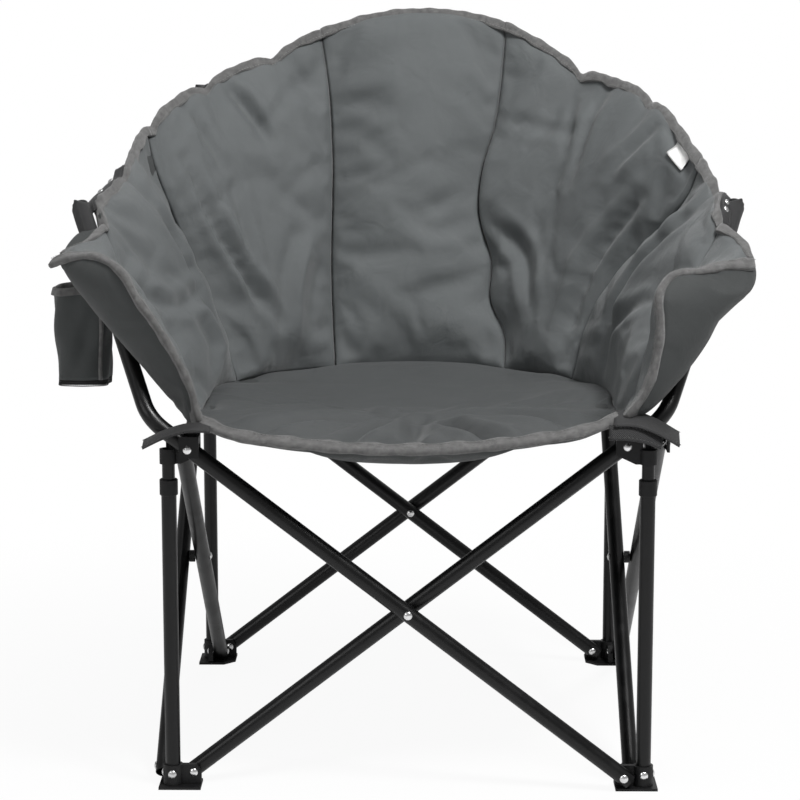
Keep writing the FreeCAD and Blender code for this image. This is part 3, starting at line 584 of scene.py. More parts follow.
# How each group of soft pieces goes along with the folding frame: the body that carries it and, where the
# cloth closes up, the direction, the place that stays and the share of its size that is left
hubCorner, hubZ = 0.274, 0.42
acrossX, acrossY = (1, 0, 0), (0, 1, 0)
groups = {
    "frontLeft": ("hub_front_left",), "frontRight": ("hub_front_right",),
    "rearLeft": ("hub_rear_left",), "rearRight": ("hub_rear_right",),
    "armTubeLeft": ("cross_front_outer",), "armTubeRight": ("cross_front_inner",),
    "sideLeft": ("hub_front_left", acrossY, (-hubCorner, -hubCorner, hubZ), 0.35),
    "sideRight": ("hub_front_right", acrossY, (hubCorner, -hubCorner, hubZ), 0.35),
    "backLeft": ("hub_rear_left", acrossX, (-hubCorner, hubCorner, hubZ), 0.35),
    "backRight": ("hub_rear_right", acrossX, (hubCorner, hubCorner, hubZ), 0.35),
    "seatFront": ("hub_front_left", acrossX, (-hubCorner, -hubCorner, hubZ), 0.3),
    "seatRear": ("hub_rear_left", acrossX, (-hubCorner, hubCorner, hubZ), 0.3),
}


def attach(obj, group, node):
    body, *closing = groups[group]
    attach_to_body(obj, body)
    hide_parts(node)
    if closing:
        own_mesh(obj)


# Solid swept along points: a closed profile in two given directions at each point
def sweep(name, points, axisA, axisB, profile, material, ring=False):
    points = np.asarray(points, float)
    n = len(points)
    axisA, axisB = np.broadcast_to(axisA, (n, 3)), np.broadcast_to(axisB, (n, 3))
    profile = np.asarray(profile, float)
    if profile.ndim == 2:
        profile = np.broadcast_to(profile, (n,) + profile.shape)
    k = profile.shape[1]
    rings = points[:, None] + axisA[:, None] * profile[:, :, :1] + axisB[:, None] * profile[:, :, 1:]
    index = np.arange(n * k).reshape(n, k)
    quads = ringQuads(index, ring)
    faces = quads.tolist()
    if not ring:
        faces += [index[0][::-1].tolist(), index[-1].tolist()]
    verts = rings.reshape(-1, 3)
    if signedVolume(verts, quads) < 0:
        faces = [face[::-1] for face in faces]
    along = np.concatenate([[0], np.cumsum(np.linalg.norm(np.diff(points, axis=0), axis=1))])
    girth = np.concatenate([[0], np.cumsum(np.linalg.norm(np.diff(profile[0], axis=0), axis=1))])
    uv = np.stack(np.broadcast_arrays(along[:, None], girth[None, :]), axis=-1).reshape(-1, 2)
    return meshObject(name, verts, faces, material, uv)


def unit(vectors):
    vectors = np.asarray(vectors, float)
    return vectors / np.maximum(np.linalg.norm(vectors, axis=-1, keepdims=True), 1e-9)


def evenly(points, step):
    points = np.asarray(points, float)
    length = np.linalg.norm(np.diff(points, axis=0), axis=1).sum()
    return np.linspace(0, 1, max(int(length / step), 4)), lengthKnots(points)


# End of a repeating group: instances made real, then painted with the finish that comes in
def paintReal(group, shape, finish, result):
    real = addNode(group, "GeometryNodeRealizeInstances")
    paint = addNode(group, "GeometryNodeSetMaterial")
    group.links.new(shape, real.inputs["Geometry"])
    group.links.new(real.outputs["Geometry"], paint.inputs["Geometry"])
    group.links.new(finish, paint.inputs["Material"])
    group.links.new(paint.outputs["Geometry"], result.inputs[0])
    return group


# Points and edges sent through a repeating group and kept as a plain mesh
def throughNodes(name, verts, edges, group, values):
    mesh = bpy.data.meshes.new(name)
    mesh.from_pydata(np.asarray(verts, float).tolist(), edges, [])
    obj = bpy.data.objects.new(name, mesh)
    scene.collection.objects.link(obj)
    nodes = obj.modifiers.new("repeats", "NODES")
    nodes.node_group = group
    for socket in group.interface.items_tree:
        if socket.in_out == "INPUT" and socket.name in values:
            nodes[socket.identifier] = values[socket.name]
    bakeModifiers(obj)
    obj.data.shade_smooth()
    return obj


def addLine(verts, edges, line, closed=False):
    start, count = len(verts), len(line)
    verts += np.asarray(line, float).tolist()
    edges += [(start + i, start + (i + 1) % count) for i in range(count if closed else count - 1)]


# Stitches: small rounded bars along a line
def makeStitchGroup():
    group, given, result = newGroup(
        "stitchLine",
        [("Line", "NodeSocketGeometry", None), ("Spacing", "NodeSocketFloat", 0.0042),
         ("Half Length", "NodeSocketFloat", 0.0014), ("Half Width", "NodeSocketFloat", 0.00045),
         ("Thread", "NodeSocketMaterial", None)],
        [("Stitches", "NodeSocketGeometry")], "GeometryNodeTree")
    link = group.links.new
    curve = addNode(group, "GeometryNodeMeshToCurve")
    even = addNode(group, "GeometryNodeResampleCurve", mode="LENGTH")
    dots = addNode(group, "GeometryNodeCurveToPoints", mode="EVALUATED")
    aim = addNode(group, "FunctionNodeAlignRotationToVector", axis="Z")
    bar = addNode(group, "GeometryNodeMeshUVSphere", Segments=6, Rings=4, Radius=1.0)
    size = addNode(group, "ShaderNodeCombineXYZ")
    place = addNode(group, "GeometryNodeInstanceOnPoints")
    link(given.outputs["Line"], curve.inputs["Mesh"])
    link(curve.outputs["Curve"], even.inputs["Curve"])
    link(given.outputs["Spacing"], even.inputs["Length"])
    link(even.outputs["Curve"], dots.inputs["Curve"])
    link(dots.outputs["Points"], place.inputs["Points"])
    link(dots.outputs["Tangent"], aim.inputs["Vector"])
    link(aim.outputs["Rotation"], place.inputs["Rotation"])
    link(bar.outputs["Mesh"], place.inputs["Instance"])
    for axis, label in zip("XYZ", ("Half Width", "Half Width", "Half Length")):
        link(given.outputs[label], size.inputs[axis])
    link(size.outputs["Vector"], place.inputs["Scale"])
    return paintReal(group, place.outputs["Instances"], given.outputs["Thread"], result)


stitchGroup = makeStitchGroup()


def stitchAlong(name, lines, material, spacing=0.0042, half=0.0014, width=0.00045):
    verts, edges = [], []
    for line in lines:
        addLine(verts, edges, line)
    values = {"Spacing": spacing, "Half Length": half, "Half Width": width, "Thread": material}
    return throughNodes(name, verts, edges, stitchGroup, values)


# Pressed creases: each line pulls the cloth in, with a soft ridge beside it, in widths of the crease
creasing = {"steps": 28, "ends": 0.02, "fall": 1.5, "ridge": 0.45, "ridgeAt": 2.3}


def pressCreases(points, base, inward, lines):
    moved = np.zeros(base.shape[:2])
    steps, ends = creasing["steps"], creasing["ends"]
    for line, depth, width in lines:
        line = smoothThrough(lengthKnots(line), line, np.linspace(0, 1, steps))
        gaps = np.linalg.norm(base[:, :, None] - line[None, None], axis=3)
        taper = np.sin(np.pi * np.clip(gaps.argmin(2) / (steps - 1), ends, 1 - ends)) ** 0.5
        gap = gaps.min(2) / width
        ridge = creasing["ridge"] * np.exp(-(gap - creasing["ridgeAt"]) ** 2)
        moved -= depth * taper * (np.exp(-gap ** creasing["fall"]) - ridge)
    return points + inward * moved[:, :, None]


def gridPoint(grid, a, b):
    n, m = grid.shape[:2]
    i, j = min(int(a * (n - 1)), n - 2), min(int(b * (m - 1)), m - 2)
    s, t = a * (n - 1) - i, b * (m - 1) - j
    low = grid[i, j] * (1 - s) + grid[i + 1, j] * s
    return low * (1 - t) + (grid[i, j + 1] * (1 - s) + grid[i + 1, j + 1] * s) * t


# Short puckers that run off the seams, placed by a seeded draw: place, slope and reach as shares of the
# panel, depth and width in metres
pucker = {"low": (0.06, 0.9), "rise": (-0.16, 0.12), "reach": (0.22, 0.5), "depth": (0.0008, 0.003),
          "width": (0.007, 0.014), "steps": 5, "inset": 0.02, "bend": 1.4, "within": (0.03, 0.96), "seed": 11}


def seamPuckers(grid, count, seed):
    draw = np.random.default_rng(seed)
    lines = []
    for number in range(count):
        low, rise, reach = (draw.uniform(*pucker[key]) for key in ("low", "rise", "reach"))
        line = []
        for s in np.linspace(0, 1, pucker["steps"]):
            across = pucker["inset"] + reach * s
            up = np.clip(low + rise * s ** pucker["bend"], *pucker["within"])
            line.append(gridPoint(grid, 1 - across if number % 2 else across, up))
        lines.append((line, draw.uniform(*pucker["depth"]), draw.uniform(*pucker["width"])))
    return lines


# Wall panels: seam to seam, how far each crowns to the inside and the outside, and its own creases
# as (points across and up the panel, depth, width)
panels = [
    {"name": "armPadLeft", "node": "arm_pad_left", "ribs": ("frontLeft", "poleLeft"),
     "in": 0.012, "out": 0.011, "group": "frontLeft", "puckers": 6, "bulge": (-1, -0.12, -0.15),
     "swell": [(0, 0), (0.2, 0.012), (0.45, 0.026), (0.68, 0.038), (0.88, 0.024), (1, 0)],
     "creases": [([(0.15, 0.62), (0.5, 0.5), (0.9, 0.42)], 0.0087, 0.0076)]},
    {"name": "sidePadLeft", "node": "side_pad_left", "ribs": ("poleLeft", "foldLeft"),
     "in": 0.024, "out": 0.013, "group": "sideLeft", "puckers": 12,
     "creases": [([(0.48, 0.45), (0.53, 0.16), (0.42, 0.03)], -0.0116, 0.0114),
                 ([(0.62, 0.9), (0.66, 0.55), (0.6, 0.2)], 0.0087, 0.0085),
                 ([(0.12, 0.6), (0.35, 0.45), (0.6, 0.42)], 0.0072, 0.0085)]},
    {"name": "backPadLeft", "node": "back_pad_left", "ribs": ("foldLeft", "channelLeft"),
     "in": 0.027, "out": 0.013, "group": "backLeft", "puckers": 12,
     "creases": [([(0.16, 0.8), (0.2, 0.45), (0.32, 0.26), (0.46, 0.15)], 0.0159, 0.0085),
                 ([(0.87, 0.4), (0.7, 0.25), (0.64, 0.08)], -0.0116, 0.0114),
                 ([(0.54, 0.97), (0.66, 0.72)], 0.013, 0.0076), ([(0.4, 0.7), (0.28, 0.1)], 0.0087, 0.0095),
                 ([(0.3, 0.96), (0.36, 0.7)], 0.0101, 0.0076)]},
    {"name": "backPadCenter", "node": "back_pad_center", "ribs": ("channelLeft", "channelRight"),
     "in": 0.027, "out": 0.013, "group": "backLeft", "puckers": 12,
     "creases": [([(0.98, 0.42), (0.7, 0.36), (0.5, 0.4)], 0.0058, 0.0095)]},
    {"name": "backPadRight", "node": "back_pad_right", "ribs": ("channelRight", "foldRight"),
     "in": 0.027, "out": 0.013, "group": "backRight", "puckers": 12,
     "creases": [([(0.84, 0.72), (0.84, 0.42), (0.82, 0.12)], 0.013, 0.0085),
                 ([(0.05, 0.42), (0.3, 0.33), (0.45, 0.18)], 0.0101, 0.0095),
                 ([(0.42, 0.96), (0.5, 0.62)], 0.0101, 0.0085),
                 ([(0.72, 0.95), (0.66, 0.7)], 0.0101, 0.0076)]},
    {"name": "sidePadRight", "node": "side_pad_right", "ribs": ("foldRight", "poleRight"),
     "in": 0.024, "out": 0.013, "group": "sideRight", "puckers": 12,
     "creases": [([(0.4, 0.9), (0.36, 0.5), (0.4, 0.12)], 0.0116, 0.0095),
                 ([(0.7, 0.5), (0.5, 0.2), (0.45, 0.03)], 0.0087, 0.0095)]},
    {"name": "armPadRight", "node": "arm_pad_right", "ribs": ("poleRight", "frontRight"),
     "in": 0.012, "out": 0.011, "group": "frontRight", "puckers": 6, "bulge": (1, -0.12, -0.15),
     "swell": [(0, 0), (0.2, 0.018), (0.45, 0.042), (0.68, 0.054), (0.88, 0.03), (1, 0)],
     "creases": [([(0.1, 0.45), (0.5, 0.52), (0.85, 0.62)], 0.0087, 0.0076)]},
]
cell, fewestCells = 0.0065, 14

# Binding: a folded tape that grips the panel's raw edge, in metres from the edge
binding = {
    "profile": [(-0.0043, 0.0008), (-0.0032, 0.0040), (0, 0.0051), (0.0032, 0.0040), (0.0043, 0.0008),
                (0.0066, -0.0078), (0.0066, -0.0094), (0.0040, -0.0100), (-0.0040, -0.0100),
                (-0.0066, -0.0094), (-0.0066, -0.0078)],
    "step": 0.004, "wobble": 0.0009, "stitchIn": 0.0068, "stitchDown": 0.0062, "size": 0.94, "trim": 2,
    # waves along the tape in radians per metre: two make the wobble, one the swelling
    "waveA": 190, "waveB": 71, "shiftB": 1.3, "swell": 0.12, "swellWave": 133, "swellShift": 0.7,
}


def bindEdge(name, edge, outward, inward, group, scale=1.0):
    at, knots = evenly(edge, binding["step"])
    points = smoothThrough(knots, edge, at)
    out = unit(smoothThrough(knots, unit(outward), at))
    side = smoothThrough(knots, unit(inward), at)
    side = unit(side - out * (side * out).sum(1, keepdims=True))
    run = at * np.linalg.norm(np.diff(points, axis=0), axis=1).sum()
    wave = np.sin(run * binding["waveA"]) * np.sin(run * binding["waveB"] + binding["shiftB"])
    points = points + out * (binding["wobble"] * wave)[:, None]
    scale *= binding["size"]
    puffy = scale * (1 + binding["swell"] * np.sin(run * binding["swellWave"] + binding["swellShift"]))
    profile = np.array(binding["profile"])[None] * puffy[:, None, None]
    tape = sweep(name, points, side, out, profile, warmTape)
    attach(tape, group, "rim_binding")
    line = points + side * binding["stitchIn"] * scale - out * binding["stitchDown"] * scale
    thread = stitchAlong(name + "Stitch", [line], paleThread)
    attach(thread, group, "rim_binding")


# Outer cover of an arm pad: past the tube, and swelling out from the inner pad
def armCover(panel, plain, grid):
    steps = np.array(panel["swell"])
    rows = smoothThrough(steps[:, 0], steps[:, 1], np.linspace(0, 1, bowl["rows"]))
    wave = np.sin(np.pi * np.linspace(0, 1, len(grid))) ** crown["cover"]
    return plain - grid + (wave[:, None] * rows)[:, :, None] * unit(panel["bulge"])


# Creases pressed into the inner skin, with the sewn edge left as it is
def creasePanel(obj, panel, grid, inward, seed):
    n, m = grid.shape[:2]
    points = meshPoints(obj.data)
    lines = [([gridPoint(grid, a, b) for a, b in line], depth, width)
             for line, depth, width in panel["creases"]]
    lines += seamPuckers(grid, panel["puckers"], seed)
    inner = points[:n * m].reshape(n, m, 3)
    hold = np.ones((n, m))
    hold[[0, -1]] = hold[:, [0, -1]] = 0
    pressed = pressCreases(inner, grid, inward, lines)
    inner = inner + (pressed - inner) * hold[:, :, None]
    points[:n * m] = inner.reshape(-1, 3)
    setPoints(obj.data, points)
    return inner


# Tape along a panel's rim, and down the front edge of the two arm pads
def bindPanel(panel, grid, inward):
    group, trim = panel["group"], binding["trim"]
    first, last = panel["ribs"][0] == "frontLeft", panel["ribs"][1] == "frontRight"
    rim = slice(trim * first, len(grid) - trim * last)
    bindEdge(panel["name"] + "Tape", grid[rim, -1], grid[rim, -1] - grid[rim, -4], inward[rim, -2], group)
    if first:
        bindEdge("frontTapeLeft", grid[0], grid[0] - grid[2], inward[1], group)
    if last:
        bindEdge("frontTapeRight", grid[-1], grid[-1] - grid[-3], inward[-2], group)


def makePanel(panel, seed):
    start, end = (ribPlace(name) for name in panel["ribs"])
    plain = wallGrid(*panel["ribs"], max(int((end - start) * rimLength / cell), fewestCells))
    grid = clearOfTubes(plain)
    inward = -gridNormals(grid)
    centre = np.array([0, bowl["seatCentreY"], grid[:, :, 2].mean()])
    if ((centre - grid) * inward).sum() < 0:
        inward = -inward
    cover = armCover(panel, plain, grid) if "swell" in panel else 0
    obj = panelMesh(panel["name"], grid, inward, panel["in"], panel["out"], greyOxford, paintedShadeOxford, cover)
    puffUp(obj)
    inner = creasePanel(obj, panel, grid, inward, seed)
    subdivide(obj)
    attach(obj, panel["group"], panel["node"])
    bindPanel(panel, grid, inward)
    print("panel", panel["name"], len(obj.data.vertices))
    return {"inner": inner, "inward": inward, "grid": grid}


wallPieces = {panel["name"]: makePanel(panel, pucker["seed"] + number) for number, panel in enumerate(panels)}


# Seat pad: a disc grid pulled out to the seat's outline, dished, with a soft drooping front lip
seat = {
    "centreY": -0.07, "middleZ": 0.42, "dish": 0.016, "crownUp": 0.008, "crownDown": 0.014, "count": 75,
    "front": [(0.246, -0.190, 0.426), (0.238, -0.294, 0.438), (0.205, -0.318, 0.430), (0.12, -0.331, 0.417),
              (0.0, -0.338, 0.410), (-0.12, -0.331, 0.415), (-0.205, -0.318, 0.426), (-0.238, -0.294, 0.436),
              (-0.246, -0.190, 0.426)],
    "backTurn": 96, "backSteps": 41, "outlineSteps": 721,
    "slack": -0.035, "pressure": 1.2, "reach": 0.012, "hold": 6,
    "tapeFrom": 1, "tapeTo": 8, "tapeSteps": 120, "tapeScale": 1.05,
    "lean": (0.35, 1, 0), "droop": (0, 0, -0.05),
    # creases: points on the seat, depth and width
    "creases": [([(0.012, -0.2), (-0.05, -0.27), (-0.075, -0.33)], 0.0184, 0.0102),
                ([(0.012, -0.2), (0.008, -0.27), (0.0, -0.333)], 0.0122, 0.0085),
                ([(0.012, -0.2), (0.06, -0.26), (0.115, -0.325)], 0.0184, 0.0102),
                ([(0.02, -0.19), (0.11, -0.2), (0.2, -0.25)], 0.0153, 0.011),
                ([(0.0, -0.19), (-0.1, -0.21), (-0.2, -0.28)], 0.0153, 0.011),
                ([(-0.02, -0.15), (-0.1, -0.08), (-0.19, -0.03)], 0.0122, 0.0119),
                ([(0.04, -0.15), (0.12, -0.08), (0.19, -0.04)], 0.0122, 0.0119)],
}


def seatOutline():
    turns = np.linspace(-seat["backTurn"], seat["backTurn"], seat["backSteps"])
    points = [tuple(seatPoint(angle)) for angle in turns]
    loop = np.array(points + seat["front"] + points[:1])
    return smoothThrough(lengthKnots(loop), loop, np.linspace(0, 1, seat["outlineSteps"]))


# Front and rear half of the seat: cut along one row, each closed by a cap, with the whole pad's normals
def cutSeat(obj, names):
    mesh = obj.data
    side = np.zeros(len(mesh.vertices))
    mesh.attributes["cut"].data.foreach_get("value", side)
    co, normals = meshPoints(mesh), np.zeros(len(mesh.vertices) * 3)
    mesh.vertices.foreach_get("normal", normals)
    normals = normals.reshape(-1, 3)
    loops = np.zeros(len(mesh.loops), int)
    mesh.loops.foreach_get("vertex_index", loops)
    quads = loops.reshape(-1, 4)
    uv = np.zeros(len(mesh.loops) * 2)
    mesh.uv_layers[0].data.foreach_get("uv", uv)
    byVertex = np.zeros((len(co), 2))
    byVertex[loops] = uv.reshape(-1, 2)
    shadeSlot = np.zeros(len(mesh.polygons), int)
    mesh.polygons.foreach_get("material_index", shadeSlot)
    halves = []
    for name, sign in zip(names, (-1, 1)):
        pick = side[quads].mean(1) * sign > 0
        chosen = quads[pick]
        used = np.unique(chosen)
        renumber = np.full(len(co), -1)
        renumber[used] = np.arange(len(used))
        half = meshObject(name, co[used], renumber[chosen], paintedShadeSeatOxford, byVertex[used])
        # Underside faces keep the darker outer material, painted shade
        half.data.materials.append(paintedShadeOxford)
        half.data.polygons.foreach_set("material_index", shadeSlot[pick])
        work = bmesh.new()
        work.from_mesh(half.data)
        cutEdges = [edge for edge in work.edges if edge.is_boundary]
        bmesh.ops.triangle_fill(work, edges=cutEdges, use_beauty=True)
        bmesh.ops.recalc_face_normals(work, faces=work.faces)
        if work.calc_volume(signed=True) < 0:
            bmesh.ops.reverse_faces(work, faces=work.faces)
        work.to_mesh(half.data)
        work.free()
        half.data.shade_smooth()
        half.data.normals_split_custom_set_from_vertices(normals[used].tolist())
        halves.append(half)
    bpy.data.objects.remove(obj)
    return halves


def makeSeat():
    outline = seatOutline()
    centre = np.array([0, seat["centreY"]])
    angles = np.unwrap(np.arctan2(outline[:, 0] - centre[0], outline[:, 1] - centre[1]))
    order = np.argsort(angles)
    angles, outline = angles[order], outline[order]
    radius = np.linalg.norm(outline[:, :2] - centre, axis=1)
    count = seat["count"]
    u, v = np.meshgrid(np.linspace(-1, 1, count), np.linspace(-1, 1, count), indexing="ij")
    px, py = u * np.sqrt(1 - v * v / 2), v * np.sqrt(1 - u * u / 2)
    r = np.hypot(px, py)
    turn = np.arctan2(px, py)
    turn = np.where(turn < angles[0], turn + math.tau, turn)
    turn = np.where(turn > angles[-1], turn - math.tau, turn)
    reach = np.interp(turn, angles, radius)
    edgeZ = np.interp(turn, angles, outline[:, 2])
    inside = 1 - r ** 2
    z = edgeZ * r ** 2 + (seat["middleZ"] - seat["dish"]) * inside
    grid = np.stack([centre[0] + np.sin(turn) * reach * r, centre[1] + np.cos(turn) * reach * r, z], axis=-1)
    up = np.zeros_like(grid)
    up[:, :, 2] = 1
    # Top in the darker seat copy and underside in the darker outer copy of the oxford: both painted shade
    obj = panelMesh("seatPad", grid, up, seat["crownUp"], seat["crownDown"], paintedShadeSeatOxford, paintedShadeOxford)
    puffUp(obj, seat["slack"], seat["pressure"], seat["reach"])
    points = meshPoints(obj.data)
    total = count * count
    top = points[:total].reshape(count, count, 3)
    flat = grid * np.array([1, 1, 0])
    lines = [([(x, y, 0) for x, y in line], depth, width) for line, depth, width in seat["creases"]]
    hold = np.clip(inside * seat["hold"], 0, 1)[:, :, None]
    top = top + (pressCreases(top, flat, up, lines) - top) * hold
    points[:total] = top.reshape(-1, 3)
    setPoints(obj.data, points)
    share = np.concatenate([v.ravel(), v[1:-1, 1:-1].ravel()])
    obj.data.attributes.new("cut", "FLOAT", "POINT").data.foreach_set("value", share.astype(np.float32))
    subdivide(obj)
    halves = cutSeat(obj, ("seatPadFront", "seatPadRear"))
    for half, group in zip(halves, ("seatFront", "seatRear")):
        attach(half, group, "seat_pad")
    lip = np.array(seat["front"][seat["tapeFrom"]:seat["tapeTo"]])
    lip = smoothThrough(lengthKnots(lip), lip, np.linspace(0, 1, seat["tapeSteps"]))
    away = unit((lip - np.array([0, seat["centreY"], 0])) * np.array(seat["lean"]) + np.array(seat["droop"]))
    bindEdge("seatLipTape", lip, away, np.tile([0, 0, 1.0], (len(lip), 1)), "seatFront", seat["tapeScale"])


makeSeat()
print("seat made")


# Webbing: a flat band with rounded edges, given by half its width and half its thickness, and its stitches
webbing = {"step": 0.004, "thick": 0.0014, "stitchIn": 0.003, "stitchOver": 0.0002, "stitchWidth": 0.0004}


def bandProfile(half, thick):
    flat, edge = half - thick, thick * 0.5
    return [(-half, -edge), (-half, edge), (-flat, thick), (flat, thick),
            (half, edge), (half, -edge), (flat, -thick), (-flat, -thick)]


def band(name, path, across, half, thick, material, group, node):
    at, knots = evenly(path, webbing["step"])
    points = smoothThrough(knots, path, at)
    along = unit(np.gradient(points, axis=0))
    wide = np.asarray(across, float)
    wide = smoothThrough(knots, wide, at) if wide.ndim == 2 else np.broadcast_to(wide, points.shape)
    wide = unit(wide - along * (wide * along).sum(1, keepdims=True))
    thin = np.cross(along, wide)
    obj = sweep(name, points, wide, thin, bandProfile(half, thick), material)
    attach(obj, group, node)
    aside, over = half - webbing["stitchIn"], thick + webbing["stitchOver"]
    rows = [points + wide * aside * sign + thin * face * over for sign in (-1, 1) for face in (-1, 1)]
    thread = stitchAlong(name + "Stitch", rows, greyPiping, width=webbing["stitchWidth"])
    attach(thread, group, node)


# Pockets over the pole ends: a sock of webbing, sewn flat at its top, and a strap to the rim
pockets = [
    {"name": "armPocketLeft", "tip": (-0.391, -0.107, 0.662), "along": (-0.32, 0.594, 0.737),
     "radius": 0.0114, "group": "armTubeLeft", "below": 0.045},
    {"name": "armPocketRight", "tip": (0.391, -0.081, 0.662), "along": (0.32, 0.594, 0.737),
     "radius": 0.0114, "group": "armTubeRight", "below": 0.045},
    {"name": "backPocketLeft", "tip": (-0.282, 0.304, 0.784), "along": (-0.0232, 0.0869, 0.996),
     "radius": 0.0098, "group": "rearLeft", "below": 0.05},
    {"name": "backPocketRight", "tip": (0.282, 0.304, 0.784), "along": (0.0232, 0.0869, 0.996),
     "radius": 0.0098, "group": "rearRight", "below": 0.05},
]
# along the pole from its end, in metres: straight up to closeFrom, then drawn flat up to above
sock = {"closeFrom": -0.004, "above": 0.004, "thick": 0.0014, "sides": 28, "straight": 16, "closing": 5,
        "facing": 0.2, "widen": 0.1, "flatten": 0.75, "ripple": 0.03, "ripples": 3, "twist": 90,
        "uvLength": 0.12}


def makePocket(entry):
    along = unit(entry["along"])
    wide = unit(np.cross(along, (entry["tip"][0], sock["facing"], 0)))
    flat = np.cross(wide, along)
    start, above = sock["closeFrom"], sock["above"]
    heights = np.concatenate([np.linspace(-entry["below"], start, sock["straight"]),
                              np.linspace(start / 2, above, sock["closing"])])
    turns = np.linspace(0, math.tau, sock["sides"], endpoint=False)
    rings = []
    for skin in (0, sock["thick"]):
        for height in heights:
            close = np.clip((height - start) / (above - start), 0, 1) ** 1.5
            ripple = 1 + sock["ripple"] * np.sin(sock["ripples"] * turns + sock["twist"] * height)
            a = (entry["radius"] * (1 + sock["widen"] * close) - skin) * ripple
            b = (entry["radius"] * (1 - sock["flatten"] * close) - skin) * ripple
            ring = (np.cos(turns) * a)[:, None] * wide + (np.sin(turns) * b)[:, None] * flat
            rings.append(np.array(entry["tip"]) + along * (height - skin * close) + ring)
    top = len(heights) - 1
    loop = np.array(rings[:top + 1] + rings[:top:-1])
    n, k = loop.shape[:2]
    index = np.arange(n * k).reshape(n, k)
    verts, quads = loop.reshape(-1, 3), ringQuads(index, True)
    faces = np.delete(quads.reshape(n, k, 4), top, axis=0).reshape(-1, 4).tolist()
    faces += [index[top].tolist(), index[top + 1][::-1].tolist()]
    if signedVolume(verts - verts.mean(0), quads) < 0:
        faces = [face[::-1] for face in faces]
    lengths = np.linspace(0, sock["uvLength"], n)
    uv = np.stack(np.broadcast_arrays(lengths[:, None], (turns * entry["radius"])[None]), axis=-1)
    obj = meshObject(entry["name"], verts, faces, blackWebbing, uv.reshape(-1, 2))
    attach(obj, entry["group"], "pole_pockets")


for entry in pockets:
    makePocket(entry)
print("pockets made")


# Rivet heads: low domes set at points, each facing its own way
def makeRivetGroup():
    group, given, result = newGroup(
        "rivetHeads",
        [("Points", "NodeSocketGeometry", None), ("Facing", "NodeSocketVector", None),
         ("Radius", "NodeSocketFloat", 0.0045), ("Finish", "NodeSocketMaterial", None)],
        [("Heads", "NodeSocketGeometry")], "GeometryNodeTree")
    link = group.links.new
    dome = addNode(group, "GeometryNodeMeshUVSphere", Segments=24, Rings=12)
    aim = addNode(group, "FunctionNodeAlignRotationToVector", axis="Z")
    place = addNode(group, "GeometryNodeInstanceOnPoints", Scale=(1, 1, 0.5))
    link(given.outputs["Radius"], dome.inputs["Radius"])
    link(given.outputs["Facing"], aim.inputs["Vector"])
    link(given.outputs["Points"], place.inputs["Points"])
    link(dome.outputs["Mesh"], place.inputs["Instance"])
    link(aim.outputs["Rotation"], place.inputs["Rotation"])
    return paintReal(group, place.outputs["Instances"], given.outputs["Finish"], result)


rivetGroup = makeRivetGroup()


def rivetHeads(name, points, facing, radius):
    values = {"Facing": tuple(float(x) for x in facing), "Radius": radius, "Finish": brightZinc}
    return throughNodes(name, points, [], rivetGroup, values)


# Straps along the outside of the arms' rims, riveted where the arm pockets are sewn on
rimStraps = [
    {"name": "rimStrapLeft", "panel": "sidePadLeft", "from": 0.08, "to": 0.66, "group": "sideLeft",
     "facing": (-0.62, -0.5, 0.6), "rivets": (0.42, 0.68)},
    {"name": "rimStrapRight", "panel": "sidePadRight", "from": 0.98, "to": 0.5, "group": "sideRight",
     "facing": (0.62, -0.5, 0.6), "rivets": (0.42, 0.68)},
]
rimStrap = {"out": 0.009, "down": -0.003, "half": 0.0085, "thick": 0.0013, "steps": 14, "rivet": 0.0042}


def makeRimStrap(entry):
    piece = wallPieces[entry["panel"]]
    grid, inward = piece["grid"], piece["inward"]
    first, last = (int(entry[end] * (len(grid) - 1)) for end in ("from", "to"))
    picks = np.linspace(first, last, rimStrap["steps"]).round().astype(int)
    facing = unit(entry["facing"])
    path = grid[picks, -1] - inward[picks, -2] * rimStrap["out"] - np.array([0, 0, rimStrap["down"]])
    across = np.cross(unit(np.gradient(path, axis=0)), facing)
    band(entry["name"], path, across, rimStrap["half"], rimStrap["thick"], blackWebbing, entry["group"],
         "pole_pockets")
    at = smoothThrough(lengthKnots(path), path, np.array(entry["rivets"]))
    heads = rivetHeads(entry["name"] + "Rivets", at + facing * rimStrap["thick"], facing, rimStrap["rivet"])
    attach(heads, entry["group"], "pole_pockets")


for entry in rimStraps:
    makeRimStrap(entry)

